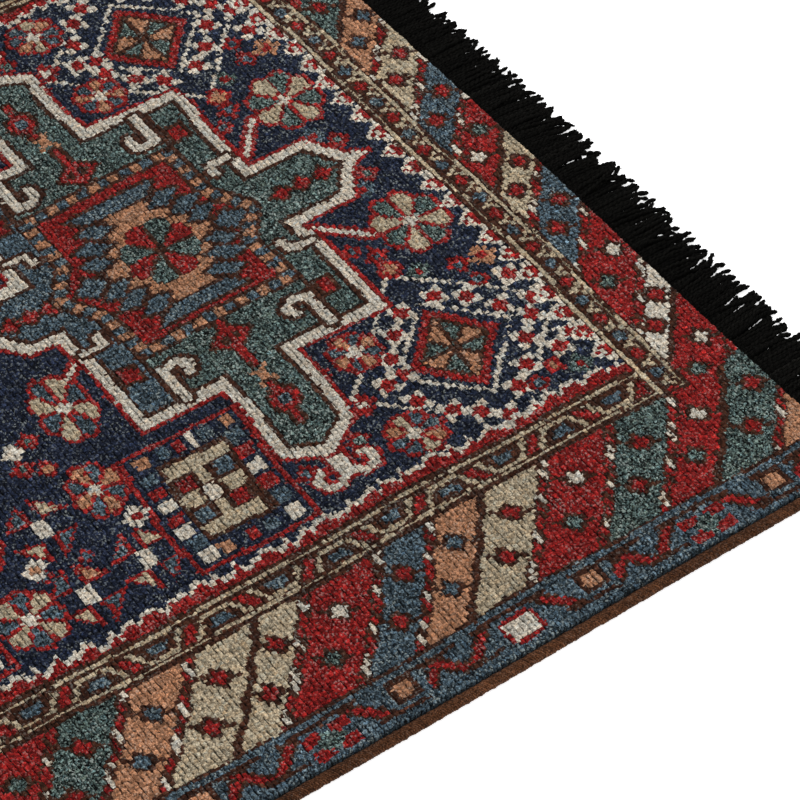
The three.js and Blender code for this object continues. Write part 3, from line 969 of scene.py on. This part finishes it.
def slab(name, front, back_z, colours, back_colour, gaps, facing):
    """A closed piece with a fine front and a plain back at a fixed height.

    front holds the places of a grid of points, colours those of the faces between them,
    and facing is 1 where the front is on top and -1 where it is underneath.
    """
    rows, columns = front.shape[:2]
    index = np.arange(rows * columns).reshape(rows, columns)
    rim = np.zeros((rows, columns), bool)
    rim[[0, -1], :] = True
    rim[:, [0, -1]] = True
    back = np.full((rows, columns), -1)
    back[rim] = rows * columns + np.arange(rim.sum())
    back_points = front[rim].copy()
    back_points[:, 2] = back_z
    points = np.concatenate([front.reshape(-1, 3), back_points])

    def quads(a, b, c, d):
        return np.stack([a, b, c, d], axis=-1).reshape(-1, 4)

    faces = quads(index[:-1, :-1], index[:-1, 1:], index[1:, 1:], index[1:, :-1]).tolist()
    face_colours = [colours.reshape(-1, 4)]
    walls = (
        (index[0, 1:], index[0, :-1], back[0, :-1], back[0, 1:], colours[0]),
        (index[-1, :-1], index[-1, 1:], back[-1, 1:], back[-1, :-1], colours[-1]),
        (index[:-1, 0], index[1:, 0], back[1:, 0], back[:-1, 0], colours[:, 0]),
        (index[1:, -1], index[:-1, -1], back[:-1, -1], back[1:, -1], colours[:, -1]),
    )
    for a, b, c, d, wall_colours in walls:
        faces += quads(a, b, c, d).tolist()
        face_colours.append(wall_colours)
    strips = quads(back[1:-2, 0], back[2:-1, 0], back[2:-1, -1], back[1:-2, -1]).tolist()
    strips.append(back[0, ::-1].tolist() + [back[1, 0], back[1, -1]])
    strips.append(back[-1].tolist() + [back[-2, -1], back[-2, 0]])
    face_colours.append(np.tile(back_colour, (len(strips), 1)))
    faces += strips
    if facing < 0:
        faces = [face[::-1] for face in faces]
    piece = new_object(name, points, faces)
    smooth = np.arange(len(faces)) < colours.shape[0] * colours.shape[1]
    piece.data.polygons.foreach_set("use_smooth", smooth)  # flat walls keep the front's edge level
    paint(piece, np.concatenate(face_colours))
    # The back's points take a gap value of 0.6, so the walls darken towards the back: painted shade
    # at the foot of the edges.
    mark_gaps(piece, np.concatenate([gaps.ravel(), np.full(len(back_points), 0.6)]))
    slab_map(piece, rows, columns, rim, len(faces) - len(strips))
    return piece


# ---------------------------------------------------------------- materials
# the pale tint of the glints painted on fibre ends, as if light caught them
PAINTED_GLINT_TINT = (0.46, 0.50, 0.46)
WAVE_PERIOD = 0.314  # metres between the bands of a wave texture at a scale of 1


def add(tree, kind, feeds, **settings):
    """A new node. feeds gives its sockets a number, a colour or another node's output."""
    node = tree.nodes.new("ShaderNode" + kind)
    for name, value in settings.items():
        setattr(node, name, value)
    for socket, value in feeds.items():
        if isinstance(value, bpy.types.NodeSocket):
            tree.links.new(value, node.inputs[socket])
        else:
            node.inputs[socket].default_value = value
    return node


def material(name, roughness, sheen, specular):
    """A plain Principled material, with its shader and its node tree."""
    made = bpy.data.materials.new(name)
    made.use_nodes = True
    shader = made.node_tree.nodes["Principled BSDF"]
    shader.inputs["Roughness"].default_value = roughness
    shader.inputs["Sheen Weight"].default_value = sheen
    shader.inputs["Sheen Roughness"].default_value = 0.45
    shader.inputs["Specular IOR Level"].default_value = specular
    return made, shader, made.node_tree


def own_place(tree):
    """The object's own coordinates, in metres."""
    return add(tree, "TexCoord", {}).outputs["Object"]


def noise(tree, scale, detail=2.0):
    """Noise in grains per metre."""
    feeds = {"Vector": own_place(tree), "Scale": scale, "Detail": detail}
    return add(tree, "TexNoise", feeds).outputs["Fac"]


def remap(tree, value, low, high, to_low, to_high):
    """A value between low and high, moved smoothly to between to_low and to_high."""
    feeds = {"Value": value, "From Min": low, "From Max": high, "To Min": to_low, "To Max": to_high}
    return add(tree, "MapRange", feeds, interpolation_type="SMOOTHSTEP").outputs["Result"]


def times(tree, colour, factor):
    """A colour made lighter or darker by a factor."""
    feeds = {0: colour, "Scale": factor}
    return add(tree, "VectorMath", feeds, operation="SCALE").outputs["Vector"]


def relief(tree, shader, heights, depth):
    """Adds the heights, each with its share, and bumps the surface by them."""
    total = 0
    for value, share in heights:
        feeds = {0: value, 1: share, 2: total}
        total = add(tree, "Math", feeds, operation="MULTIPLY_ADD").outputs[0]
    bump = add(tree, "Bump", {"Distance": depth, "Height": total})
    tree.links.new(bump.outputs["Normal"], shader.inputs["Normal"])


def fibre_ends(tree, scale):
    """Rounded grains of random shade: their shade and how far a point is from their middle."""
    feeds = {"Vector": own_place(tree), "Scale": scale, "Randomness": 1.0}
    grains = add(tree, "TexVoronoi", feeds)
    shade = add(tree, "SeparateColor", {"Color": grains.outputs["Color"]})
    return shade.outputs["Red"], grains.outputs["Distance"]


def blend_by(tree, share, low, high):
    """low where share is 0 and high where it is 1."""
    feeds = {"Factor": share, "A": low, "B": high}
    return add(tree, "Mix", feeds, data_type="FLOAT").outputs["Result"]


def add_painted_glint(tree, colour, share, tint):
    """The colour mixed with the pale tint of a painted glint, by a share."""
    feeds = {0: share, 6: colour, 7: (*tint, 1)}  # 6 and 7 are a mix node's two colours
    return add(tree, "Mix", feeds, data_type="RGBA").outputs[2]


def wool(name, fuzz, gap_shade, fibre=610, shine=0.06, depth=0.0007, pale=0.42):
    """Wool in the colours painted on the piece, speckled, with painted glints on fibre ends, painted
    shade round them and painted shade down in the gaps.
    """
    made, shader, tree = material(name, 0.9, fuzz, shine)
    yarn = add(tree, "Attribute", {}, attribute_name="yarn")
    gap = add(tree, "Attribute", {}, attribute_name="gap")
    shade, distance = fibre_ends(tree, fibre)
    hair = noise(tree, fibre * 2.2)
    speckle = yarn.outputs["Alpha"]
    # Each grain's random shade: partly the fibres' own tone, partly painted glint where it lifts a
    # grain above its yarn's colour.
    grain = remap(tree, shade, 0.05, 0.75, 0.02, 1.60)
    # Painted shade: each grain darkens towards its rim, as between rounded fibre ends.
    edge = remap(tree, distance, 0.25, 0.75, 1.22, 0.38)
    patchy = remap(tree, noise(tree, 24, 1.0), 0.40, 0.62, 0.35, 1.0)
    # Painted glint: the brightest grains mix towards a pale tint, as light catching fibre ends; pale
    # sets its strength.
    tip = blend_by(tree, speckle, 0.0, remap(tree, shade, 0.80, 0.93, 0.0, pale))
    tip = blend_by(tree, patchy, 0.0, tip)
    colour = times(tree, yarn.outputs["Color"], blend_by(tree, speckle, 1.0, grain))
    colour = times(tree, colour, blend_by(tree, speckle, 1.0, edge))
    colour = times(tree, colour, remap(tree, hair, 0.34, 0.66, 0.72, 1.28))
    colour = add_painted_glint(tree, colour, tip, PAINTED_GLINT_TINT)
    # Painted shade: the wool darkens down in the gaps between rows and knots and in grooves.
    colour = times(tree, colour, remap(tree, gap.outputs["Fac"], 0.22, 0.85, 1.0, gap_shade))
    tree.links.new(colour, shader.inputs["Base Color"])
    rounded = remap(tree, distance, 0.0, 0.8, 1.0, 0.0)
    relief(tree, shader, ((rounded, 0.6), (shade, 0.25), (hair, 0.3)), depth)
    return made


def mottled(tree, shader, colour, grain, low, high):
    """One colour, made lighter and darker by a grain. Returns it for more to be done."""
    base = add(tree, "RGB", {}).outputs[0]
    base.default_value = (*colour, 1)
    shade = times(tree, base, remap(tree, grain, *low, *high))
    tree.links.new(shade, shader.inputs["Base Color"])
    return shade


def cotton(name, colour, pitch):
    """Plain woven cotton: over and under threads at a pitch in metres."""
    made, shader, tree = material(name, 0.9, 0.15, 0.2)
    slub = noise(tree, 260, 3.0)
    shade = mottled(tree, shader, colour, slub, (0.25, 0.75), (0.75, 1.25))
    heights = []
    for axis in ("X", "Y"):
        feeds = {"Vector": own_place(tree), "Scale": WAVE_PERIOD / pitch}
        feeds.update({"Distortion": 1.2, "Detail": 1.0})
        thread = add(tree, "TexWave", feeds, bands_direction=axis).outputs["Fac"]
        # Painted shade: the cloth darkens between the threads.
        shade = times(tree, shade, remap(tree, thread, 0.0, 0.7, 0.6, 1.0))
        heights.append((thread, 0.5))
    tree.links.new(shade, shader.inputs["Base Color"])
    relief(tree, shader, (*heights, (slub, 0.5)), 0.0004)
    return made


PILE_WOOL = wool("pile_wool", 0.03, 0.10)
BACK_WOOL = wool("back_wool", 0.03, 0.50, depth=0.0004)
SELVAGE_WOOL = wool("selvage_wool", 0.03, 0.62, fibre=900, shine=0.05, pale=0.10)
BLACK_YARN = wool("black_fringe_yarn", 0.0, 0.45, fibre=1200, shine=0.03, pale=0.0)
CORE_COTTON = cotton("core_cotton", (0.48, 0.41, 0.30), 0.0011)
TAPE_COTTON = cotton("black_tape_weave", (0.012, 0.012, 0.011), 0.0014)


def finish_piece(piece, made, slot, *nodes, body="rug"):
    """Gives a piece its material and its body, and hides the CAD nodes that it stands for; slot is
    not used.
    """
    piece.data.materials.append(made)
    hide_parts(*nodes)
    if body is not None:
        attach(piece, body)
    return piece


# ---------------------------------------------------------------- pile
def grid_span(low, high, edge, pitch):
    """The knots between two places, as indices of the first and of the one after the last."""
    return round((low + edge) / pitch), round((high + edge) / pitch)


def pile_part(name, slot, region, *nodes):
    """The knots over a region, as one closed piece."""
    low_x, high_x, low_y, high_y = region
    r0, r1 = grid_span(low_y, high_y, Y_END, ALONG)
    c0, c1 = grid_span(low_x, high_x, X_EDGE, ACROSS)
    rows = slice(r0 * STEPS_ALONG, r1 * STEPS_ALONG + 1)
    columns = slice(c0 * STEPS_ACROSS, c1 * STEPS_ACROSS + 1)
    steps = (rows, columns)
    faces = (slice(rows.start, rows.stop - 1), slice(columns.start, columns.stop - 1))
    hidden = np.array([0.30, 0.26, 0.20, 0.3])
    piece = slab(name, PLACES[steps], PILE_BOTTOM, COLOURS[faces], hidden, GAPS[steps], 1)
    return finish_piece(piece, PILE_WOOL, slot, *nodes)


def node_region(node):
    low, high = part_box(node)
    return low.x, high.x, low.y, high.y


YARNS = weavers_chart()
PLACES, GAPS = knot_grid()
COLOURS = tuft_colours(YARNS)

fields = {
    "a": (Y_MEDALLION / 2, Y_FIELD, ("field_ground_4",)),
    "centre": (-Y_MEDALLION / 2, Y_MEDALLION / 2, ("field_ground_2", "field_ground_3")),
    "b": (-Y_FIELD, -Y_MEDALLION / 2, ("field_ground_1",)),
}
for place, (low_y, high_y, grounds) in fields.items():
    region = (-X_FIELD, X_FIELD, low_y, high_y)
    nodes = (*grounds, f"medallion_{place}", f"medallion_box_{place}")
    pile_part(f"field_pile_{place}", "pile_navy", region, *nodes)
zones = (
    ("sawtooth_edge", "pile_red", ("side", "end")),
    ("inner_guard", "pile_beige", ("side", "end")),
    ("main_border", "pile_red", ("side", "end")),
    ("outer_guard", "pile_blue", ("side",)),
)
for zone, slot, runs in zones:
    for run in runs:
        for side in SIDES:
            node = f"{zone}_{run}_{side}"
            pile_part(f"{node}_pile", slot, node_region(node), node)


# ---------------------------------------------------------------- foundation
def underside():
    """The woven base. Its back shows the pattern as rows of flat knots."""
    low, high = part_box("foundation")
    recess = abs(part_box("fringe_stitching_a")[0].y) - 0.0003
    tape_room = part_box("foundation")[0].z + 0.0018
    rng = np.random.default_rng(67)
    y, x = np.meshgrid(
        np.linspace(low.y, high.y, ROWS + 1), np.linspace(low.x, high.x, COLUMNS + 1), indexing="ij"
    )
    z = np.where(abs(y) > recess, tape_room, low.z) + abs(rng.normal(0, 0.00022, x.shape))
    dx, dy, _ = sway(x, y)
    places = np.stack([x + dx, y + dy, z], axis=-1)
    yarns = YARNS[STEPS_ALONG // 2 :: STEPS_ALONG, ::STEPS_ACROSS]
    shade = np.exp(rng.normal(0, 0.16, yarns.shape))[..., None]
    colours = (YARN_COLOURS[yarns] * 0.85 + 0.022) * shade
    gaps = rng.uniform(0.2, 0.8, x.shape)
    hidden = np.array([0.34, 0.30, 0.22, 0.3])
    piece = slab("foundation_cloth", places, high.z, with_speckle(colours, 0.5), hidden, gaps, -1)
    return finish_piece(piece, BACK_WOOL, "foundation_cotton", "foundation")


base = underside()


# ---------------------------------------------------------------- tubes
def tubes(paths, radii, sides, turn, squash=1.0):
    """Closed tubes along many paths at once, as points, faces and the path of each face.

    paths holds points by path and step, radii a radius by path, step and side, and turn
    the angle of the first side by path and step.
    """
    count, steps = paths.shape[:2]
    ahead = np.gradient(paths, axis=1)
    ahead /= np.linalg.norm(ahead, axis=-1, keepdims=True)
    beside = np.cross(ahead, (0.0, 0.0, 1.0))
    beside /= np.linalg.norm(beside, axis=-1, keepdims=True) + 1e-12
    above = np.cross(beside, ahead)
    angle = turn[..., None] + np.arange(sides) * 2 * math.pi / sides
    out = beside[:, :, None] * np.cos(angle)[..., None]
    out = out + above[:, :, None] * np.sin(angle)[..., None] * squash
    points = paths[:, :, None] + out * radii[..., None]
    index = np.arange(count * steps * sides).reshape(count, steps, sides)
    after = np.roll(index, -1, axis=2)
    walls = np.stack([index[:, :-1], index[:, 1:], after[:, 1:], after[:, :-1]], axis=-1)
    faces = walls.reshape(-1, 4).tolist()
    owner = np.repeat(np.arange(count), (steps - 1) * sides)
    faces += index[:, 0].tolist()
    faces += index[:, -1, ::-1].tolist()
    owner = np.concatenate([owner, np.arange(count), np.arange(count)])
    return points.reshape(-1, 3), faces, owner


# ---------------------------------------------------------------- selvage
WRAP_PITCH = 0.0023
WRAP_STEPS = 4
WRAP_SIDES = 14
WRAP_SLANT = 1.6  # how many turns further along a turn is on one side than on the other
WRAP_GROOVE = 0.0004
WRAP_UNEVEN = 0.00022
WRAP_SWELL = 1.14  # the wool stands a little higher than the cords' plain shape
WRAP_ROOM = 0.0002
EDGE_LIFT = 0.3  # how much of the pile's waves in height the selvage follows
MAP_STRIPS = 12


def ring_map(steps, sides):
    """The map of one long tube, folded into strips side by side so that it fills the square."""
    step, side = np.meshgrid(np.arange(steps - 1), np.arange(sides), indexing="ij")
    strip_steps = -(-(steps - 1) // MAP_STRIPS)
    strip = step // strip_steps
    corners = []
    for ahead, around in ((0, 0), (0, 1), (1, 1), (1, 0)):
        u = (strip + 0.05 + 0.9 * (side + around) / sides) / MAP_STRIPS
        v = MAP_RIM + (step - strip * strip_steps + ahead) / strip_steps * (1 - 2 * MAP_RIM)
        corners.append(np.stack([u, v], axis=-1))
    walls = np.stack(corners, axis=-2).reshape(-1, 2)
    side = np.arange(sides)
    end = np.stack([side / sides / MAP_STRIPS, (side % 2) * MAP_RIM * 0.8], axis=-1)
    return np.concatenate([walls, end, (0, 1) + end * (1, -1)])


def wrapping(rng, low, high):
    """Rings of points round the edge cords, which turn of wool each is on, and its groove."""
    turns = round((high.y - low.y) / WRAP_PITCH)
    ring = 2 * math.pi * np.arange(WRAP_SIDES) / WRAP_SIDES
    spare = WRAP_STEPS * 2  # more rings at each end, so that the slant leaves no gap
    rings = np.arange(-spare, turns * WRAP_STEPS + spare + 1) / WRAP_STEPS
    y = low.y + (rings[:, None] + WRAP_SLANT * np.cos(ring)) * WRAP_PITCH
    y = np.clip(y, low.y, high.y)
    wrap, step = np.divmod(np.arange(len(rings)), WRAP_STEPS)
    valley = abs(step / WRAP_STEPS - 0.5) * 2
    swell = rng.normal(0, WRAP_UNEVEN, wrap.max() + 1)[wrap]
    past = (swell - valley**2 * WRAP_GROOVE)[:, None] - WRAP_ROOM
    x = (low.x + high.x) / 2 + np.cos(ring) * ((high.x - low.x) / 2 + past)
    z = (low.z + high.z) / 2 + np.sin(ring) * ((high.z - low.z) / 2 + past)
    z = np.maximum(z, low.z) * WRAP_SWELL
    dx, dy, dz = sway(x, y)
    return np.stack([x + dx, y + dy, z + dz * EDGE_LIFT], axis=-1), wrap, valley


def selvage(side):
    """Brown wool overcast round the edge cords, one slanting turn after another."""
    node = f"selvage_wrap_{side}"
    rng = np.random.default_rng(71 + SIDES[side])
    points, wrap, valley = wrapping(rng, *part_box(node))
    index = np.arange(points[..., 0].size).reshape(points.shape[:2])
    after = np.roll(index, -1, axis=1)
    walls = np.stack([index[:-1], after[:-1], after[1:], index[1:]], axis=-1)
    faces = [*walls.reshape(-1, 4).tolist(), index[0, ::-1].tolist(), index[-1].tolist()]
    piece = new_object(f"selvage_{side}", points.reshape(-1, 3), faces)
    shade = np.exp(rng.normal(0, 0.17, wrap.max() + 1))
    drift = np.exp(0.16 * np.sin(np.arange(wrap.max() + 1) * 0.031 + 1.0))
    by_face = np.append(np.repeat((shade * drift)[wrap[:-1]], WRAP_SIDES), [1, 1])
    paint(piece, with_speckle(SELVAGE_COLOUR * by_face[:, None], 0.6))
    # Painted shade: the wool darkens down in the grooves between the turns.
    mark_gaps(piece, np.repeat(valley, WRAP_SIDES))
    bake_map(piece, ring_map(len(points), WRAP_SIDES))
    return finish_piece(piece, SELVAGE_WOOL, "selvage_wool", node)


CORE_STEPS = 240
CORE_SIDES = 10


def edge_cords(side):
    """Two cotton cords side by side, which the selvage's wool is wound round."""
    node = f"selvage_core_{side}"
    low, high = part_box(node)
    radius = (high.x - low.x) / 4
    y = np.linspace(low.y, high.y, CORE_STEPS)
    y, x = np.broadcast_arrays(y, np.array([[low.x + radius], [high.x - radius]]))
    dx, _, dz = sway(x, y)
    paths = np.stack([x + dx, y, (low.z + high.z) / 2 + dz * EDGE_LIFT], axis=-1)
    radii = np.full((2, CORE_STEPS, CORE_SIDES), radius - 0.0001)
    points, faces, _ = tubes(paths, radii, CORE_SIDES, np.zeros((2, CORE_STEPS)))
    piece = new_object(f"edge_cords_{side}", points, faces)
    bake_map(piece, tube_map(2, CORE_STEPS, CORE_SIDES))
    return finish_piece(piece, CORE_COTTON, "foundation_cotton", node)


edges = [make(side) for side in SIDES for make in (selvage, edge_cords)]


# ---------------------------------------------------------------- fringe
CORD_PITCH = 0.0036  # from one cord of the top layer to the next
UNDER_SHARE = 0.86  # of a top cord's length, for the cords of the layer underneath
CORD_RADIUS = 0.0024
CORD_WAIST = 0.0017
CORD_TWIST = 0.0115  # length of one turn of the two plies
CORD_STEPS = 34
CORD_SIDES = 7
FRAY = 2  # loose fibre ends at the tip of each cord


def cord_paths(rng, low, high, sign):
    """The middle line of each cord, by cord and step."""
    width = high.x - low.x
    count = round(width / CORD_PITCH) * 2
    under = np.arange(count) % 2 == 1
    start = low.x + (np.arange(count) + 0.5) * width / count
    stray = (rng.random(count) < 0.14) & ~under
    reach = np.where(stray, 0.008, 0.0017)
    lean = 0.004 * np.sin(start * 9 + 1) + 0.003 * np.sin(start * 31)
    tip = start + lean + rng.normal(0, 1, count) * reach
    tip = np.clip(tip, low.x + 0.002, high.x - 0.002)
    root_y, tip_y = sorted((abs(low.y), abs(high.y)))
    length = (tip_y - root_y - 0.001) * (1.02 - abs(rng.normal(0, 0.10, count)))
    length = length * np.where(under, UNDER_SHARE, 1.0)
    along = np.linspace(0, 1, CORD_STEPS)[None, :]
    sideways = (tip - start)[:, None] * along**1.7
    waver = rng.normal(0, 0.0011, count)[:, None] * np.sin(
        along * rng.uniform(8, 24, count)[:, None] + rng.uniform(0, 6, count)[:, None]
    )
    curl = rng.normal(0, 0.0042, count)[:, None] * (np.clip(along - 0.72, 0, 1) / 0.28) ** 2
    x = start[:, None] + sideways + curl + waver * along**0.7
    y = root_y + length[:, None] * along
    layer = np.where(under, 0, 0.0018) + rng.uniform(0, 0.0010, count)
    lift = layer[:, None] * np.sin(math.pi * np.clip(along, 0.02, 0.94)) ** 0.5
    lift = lift + np.where(stray, 0.0024, 0)[:, None] * np.sin(math.pi * along**0.8)
    z = (low.z + high.z) / 2 - 0.0002 + lift
    return np.stack([x, y * sign, z], axis=-1)


def cords(rng, low, high, sign):
    """Two-ply cords, lumpy at their heads."""
    paths = cord_paths(rng, low, high, sign)
    count = len(paths)
    step = abs(paths[:, 1, 1] - paths[:, 0, 1])
    turn = np.arange(CORD_STEPS)[None, :] * step[:, None] * 2 * math.pi / CORD_TWIST
    turn = turn + rng.uniform(0, 6, count)[:, None]
    side = np.arange(CORD_SIDES) * 2 * math.pi / CORD_SIDES
    lobes = CORD_WAIST + (CORD_RADIUS - CORD_WAIST) * abs(np.cos(side))
    along = np.linspace(0, 1, CORD_STEPS)
    swell = 1 + 0.16 * np.sin(along * 58) * (along < 0.25) + rng.normal(0, 0.09, (count, CORD_STEPS))
    blunt = np.interp(along, [0, 0.8, 0.95, 0.985, 1], [1, 0.95, 1.1, 0.95, 0.5])
    swell = swell * blunt * rng.uniform(0.84, 1.12, (count, 1))
    radii = swell[..., None] * lobes
    points, faces, owner = tubes(paths, radii, CORD_SIDES, turn)
    points[:, 2] = np.maximum(points[:, 2], low.z)
    # The last value is painted shade: darker in the groove between the two plies.
    return paths, points, faces, owner, np.tile(1 - abs(np.cos(side)), count * CORD_STEPS)


def frayed(rng, paths, sign):
    """Fine loose ends that leave each cord near its tip."""
    count = len(paths) * FRAY
    steps = 5
    start = np.repeat(paths[:, -4], FRAY, axis=0)
    reach = rng.uniform(0.0008, 0.0022, count)
    aim = rng.normal(0, 0.6, count)
    along = np.linspace(0, 1, steps)[None, :]
    step = abs(paths[:, -1, 1] - paths[:, -4, 1])
    forward = np.repeat(step, FRAY)[:, None] * along + reach[:, None] * along
    x = start[:, :1] + np.sin(aim)[:, None] * reach[:, None] * along**1.5
    y = start[:, 1:2] + sign * forward * np.cos(aim * 0.6)[:, None]
    z = np.maximum(start[:, 2:] + rng.uniform(-0.0012, 0.0012, count)[:, None] * along, 0.0004)
    y = sign * np.minimum(abs(y), abs(paths[..., 1]).max() + 0.004)
    fibres = np.stack([x, y, z], axis=-1)
    radii = np.full((count, steps, 3), 0.00032) * np.linspace(1, 0.5, steps)[None, :, None]
    return tubes(fibres, radii, 3, np.zeros((count, steps)))


HEADING_LENGTH = 0.013
HEADING_STEPS = 11
HEADING_RAGGED = 0.002


def heading(end):
    """The knotted band that the cords hang from, lumpy and black."""
    node = f"fringe_{end}"
    sign = SIDES[end]
    low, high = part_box(node)
    rng = np.random.default_rng(89 + sign)
    columns = round((high.x - low.x) / CORD_PITCH) * 2 + 1
    share = np.linspace(0, 1, HEADING_STEPS)[:, None]
    y = share * sign * HEADING_LENGTH + fringe_root(end)
    y = y + sign * HEADING_RAGGED * share * rng.random((1, columns))
    x = np.broadcast_to(np.linspace(low.x, high.x, columns), y.shape)
    checks = (np.arange(HEADING_STEPS)[:, None] // 2 + np.arange(columns)[None, :] // 2) % 2
    z = low.z + 0.0030 + 0.0007 * checks + rng.normal(0, 0.0002, x.shape)
    dx, dy, _ = sway(x, y)
    places = np.stack([x + dx, y + dy, z], axis=-1)
    if sign < 0:
        places = places[::-1]
    shade = np.exp(rng.normal(0, 0.25, (HEADING_STEPS - 1, columns - 1)))
    colours = with_speckle(BLACK * shade[..., None], 0.5)
    back = np.array([*BLACK, 0.5])
    piece = slab(f"fringe_heading_{end}", places, low.z + 0.0006, colours, back, np.zeros_like(z), 1)
    finish_piece(piece, BLACK_YARN, "fringe_cord", node, body=None)
    return bend_with_end(piece)


def fringe_root(end):
    """Where on Y a fringe leaves the rug."""
    low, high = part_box(f"fringe_{end}")
    return SIDES[end] * min(abs(low.y), abs(high.y))


def bend_with_end(piece):
    """Bakes the piece's placement into its mesh.
    """
    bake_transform(piece)
    return piece


def fringe(end):
    """The black cords of one end."""
    node = f"fringe_{end}"
    sign = SIDES[end]
    low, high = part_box(node)
    rng = np.random.default_rng(83 + sign)
    paths, points, faces, owner, gaps = cords(rng, low, high, sign)
    shade = np.exp(rng.normal(0, 0.25, len(paths)))
    fibre_points, fibre_faces, fibre_owner = frayed(rng, paths, sign)
    faces = faces + [[i + len(points) for i in face] for face in fibre_faces]
    owner = np.concatenate([owner, fibre_owner // FRAY])
    gaps = np.concatenate([gaps, np.zeros(len(fibre_points))])
    points = np.concatenate([points, fibre_points])
    dx, dy, _ = sway(points[:, 0], points[:, 1])
    points = points + np.stack([dx, dy, np.zeros_like(dx)], axis=-1)
    if sign < 0:
        faces = [face[::-1] for face in faces]
    piece = new_object(f"fringe_cords_{end}", points, faces)
    cords_map = tube_map(len(paths), CORD_STEPS, CORD_SIDES) * (1 - MAP_RIM * 3, 1)
    fibres_map = tube_map(len(paths) * FRAY, 5, 3) * (MAP_RIM * 2, 1) + (1 - MAP_RIM * 2, 0)
    bake_map(piece, np.concatenate([cords_map, fibres_map]))
    paint(piece, with_speckle(BLACK[None, :] * shade[owner][:, None], 0.5))
    mark_gaps(piece, gaps)
    finish_piece(piece, BLACK_YARN, "fringe_cord", node, body=None)
    return bend_with_end(piece)


fringes = [make(end) for end in SIDES for make in (heading, fringe)]


# ---------------------------------------------------------------- fringe stitching
STITCH_PITCH = 0.0075
STITCH_RADIUS = 0.0004


def stitching(end):
    """Slanting stitches that sew the fringe's tape under the end of the rug."""
    node = f"fringe_stitching_{end}"
    low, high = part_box(node)
    rng = np.random.default_rng(97 + SIDES[end])
    count = round((high.x - low.x) / STITCH_PITCH)
    steps, sides = 7, 6
    start = low.x + (np.arange(count) + 0.2) * (high.x - low.x) / count
    along = np.linspace(0, 1, steps)[None, :]
    length = STITCH_PITCH * rng.uniform(0.55, 0.75, count)
    x = start[:, None] + length[:, None] * along
    slant = rng.normal(0.0, 0.0003, count)
    y = (low.y + high.y) / 2 + slant[:, None] * (along - 0.5)
    z = (low.z + high.z) / 2 - STITCH_RADIUS * np.sin(math.pi * along)
    paths = np.stack(np.broadcast_arrays(x, y, z), axis=-1)
    radii = np.full((count, steps, sides), STITCH_RADIUS)
    points, faces, _ = tubes(paths, radii, sides, np.zeros((count, steps)))
    piece = new_object(f"whip_stitches_{end}", points, faces)
    bake_map(piece, tube_map(count, steps, sides))
    paint(piece, with_speckle(np.tile(BLACK * 1.6, (len(faces), 1)), 0.5))
    mark_gaps(piece, np.zeros(len(points)))
    return finish_piece(piece, BLACK_YARN, "sewing_thread", node)


stitches = [stitching(end) for end in SIDES]
for end in SIDES:
    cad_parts[f"fringe_tape_{end}"].material_slots[0].material = TAPE_COTTON


# ---------------------------------------------------------------- floor, light and camera
FLOOR_GLOW = 0.62  # a light table: it leaves the rug almost no shadow


def studio_floor():
    reach = 40.0
    corners = [(-reach, -reach), (reach, -reach), (reach, reach), (-reach, reach)]
    piece = new_object("floor", [(x, y, CAD_BOX[0].z - 0.0002) for x, y in corners], [[0, 1, 2, 3]])
    made, shader, tree = material("floor_paint", 0.8, 0.0, 0.2)
    mottled(tree, shader, (0.86, 0.86, 0.86), noise(tree, 3.0), (0.2, 0.8), (0.98, 1.02))
    shader.inputs["Emission Color"].default_value = (1, 1, 1, 1)
    shader.inputs["Emission Strength"].default_value = FLOOR_GLOW
    piece.data.materials.append(made)


def soft_light(name, place, target, size, power):
    lamp = bpy.data.lights.new(name, "AREA")
    lamp.size = size
    lamp.energy = power
    holder = bpy.data.objects.new(name, lamp)
    holder.location = place
    aim = Vector(target) - Vector(place)
    holder.rotation_mode = "QUATERNION"
    holder.rotation_quaternion = aim.to_track_quat("-Z", "Y")
    bpy.context.scene.collection.objects.link(holder)


def studio_light():
    world = bpy.data.worlds.new("studio")
    world.use_nodes = True
    sky = world.node_tree.nodes["Background"]
    sky.inputs["Color"].default_value = (1.0, 1.0, 1.0, 1)
    sky.inputs["Strength"].default_value = 0.62
    bpy.context.scene.world = world
    soft_light("key", (-1.4, 2.4, 3.2), (0, 0.2, 0), 1.8, 95)
    soft_light("fill", (2.6, 0.8, 2.6), (0, 0.2, 0), 2.4, 30)


VIEW_AZIMUTH = math.radians(56.3)
VIEW_ELEVATION = math.radians(47.04)
VIEW_ROLL = math.radians(-1.73)
VIEW_DISTANCE = 3.043
VIEW_TARGET = (0.4836, 0.6357)  # as shares of the rug's half width and half length
VIEW_LENS = 149.5


def camera():
    """The viewing angle: down onto a corner of the rug from beyond its side a."""
    high = CAD_BOX[1]
    target = Vector((VIEW_TARGET[0] * high.x, VIEW_TARGET[1] * high.y, high.z))
    flat = math.cos(VIEW_ELEVATION)
    back = Vector(
        (math.sin(VIEW_AZIMUTH) * flat, -math.cos(VIEW_AZIMUTH) * flat, math.sin(VIEW_ELEVATION))
    )
    level = Vector((math.cos(VIEW_AZIMUTH), math.sin(VIEW_AZIMUTH), 0))
    right = level * math.cos(VIEW_ROLL) + back.cross(level) * math.sin(VIEW_ROLL)
    turn = Matrix((right, back.cross(right), back)).transposed()
    lens = bpy.data.cameras.new("camera")
    lens.lens = VIEW_LENS
    lens.sensor_width = 36
    lens.clip_end = 50
    holder = bpy.data.objects.new("camera", lens)
    holder.rotation_mode = "QUATERNION"
    holder.rotation_quaternion = turn.to_quaternion()
    holder.location = target + back * VIEW_DISTANCE
    bpy.context.scene.collection.objects.link(holder)
    bpy.context.scene.camera = holder


studio_floor()
studio_light()
camera()
bpy.context.scene.view_settings.view_transform = "Standard"
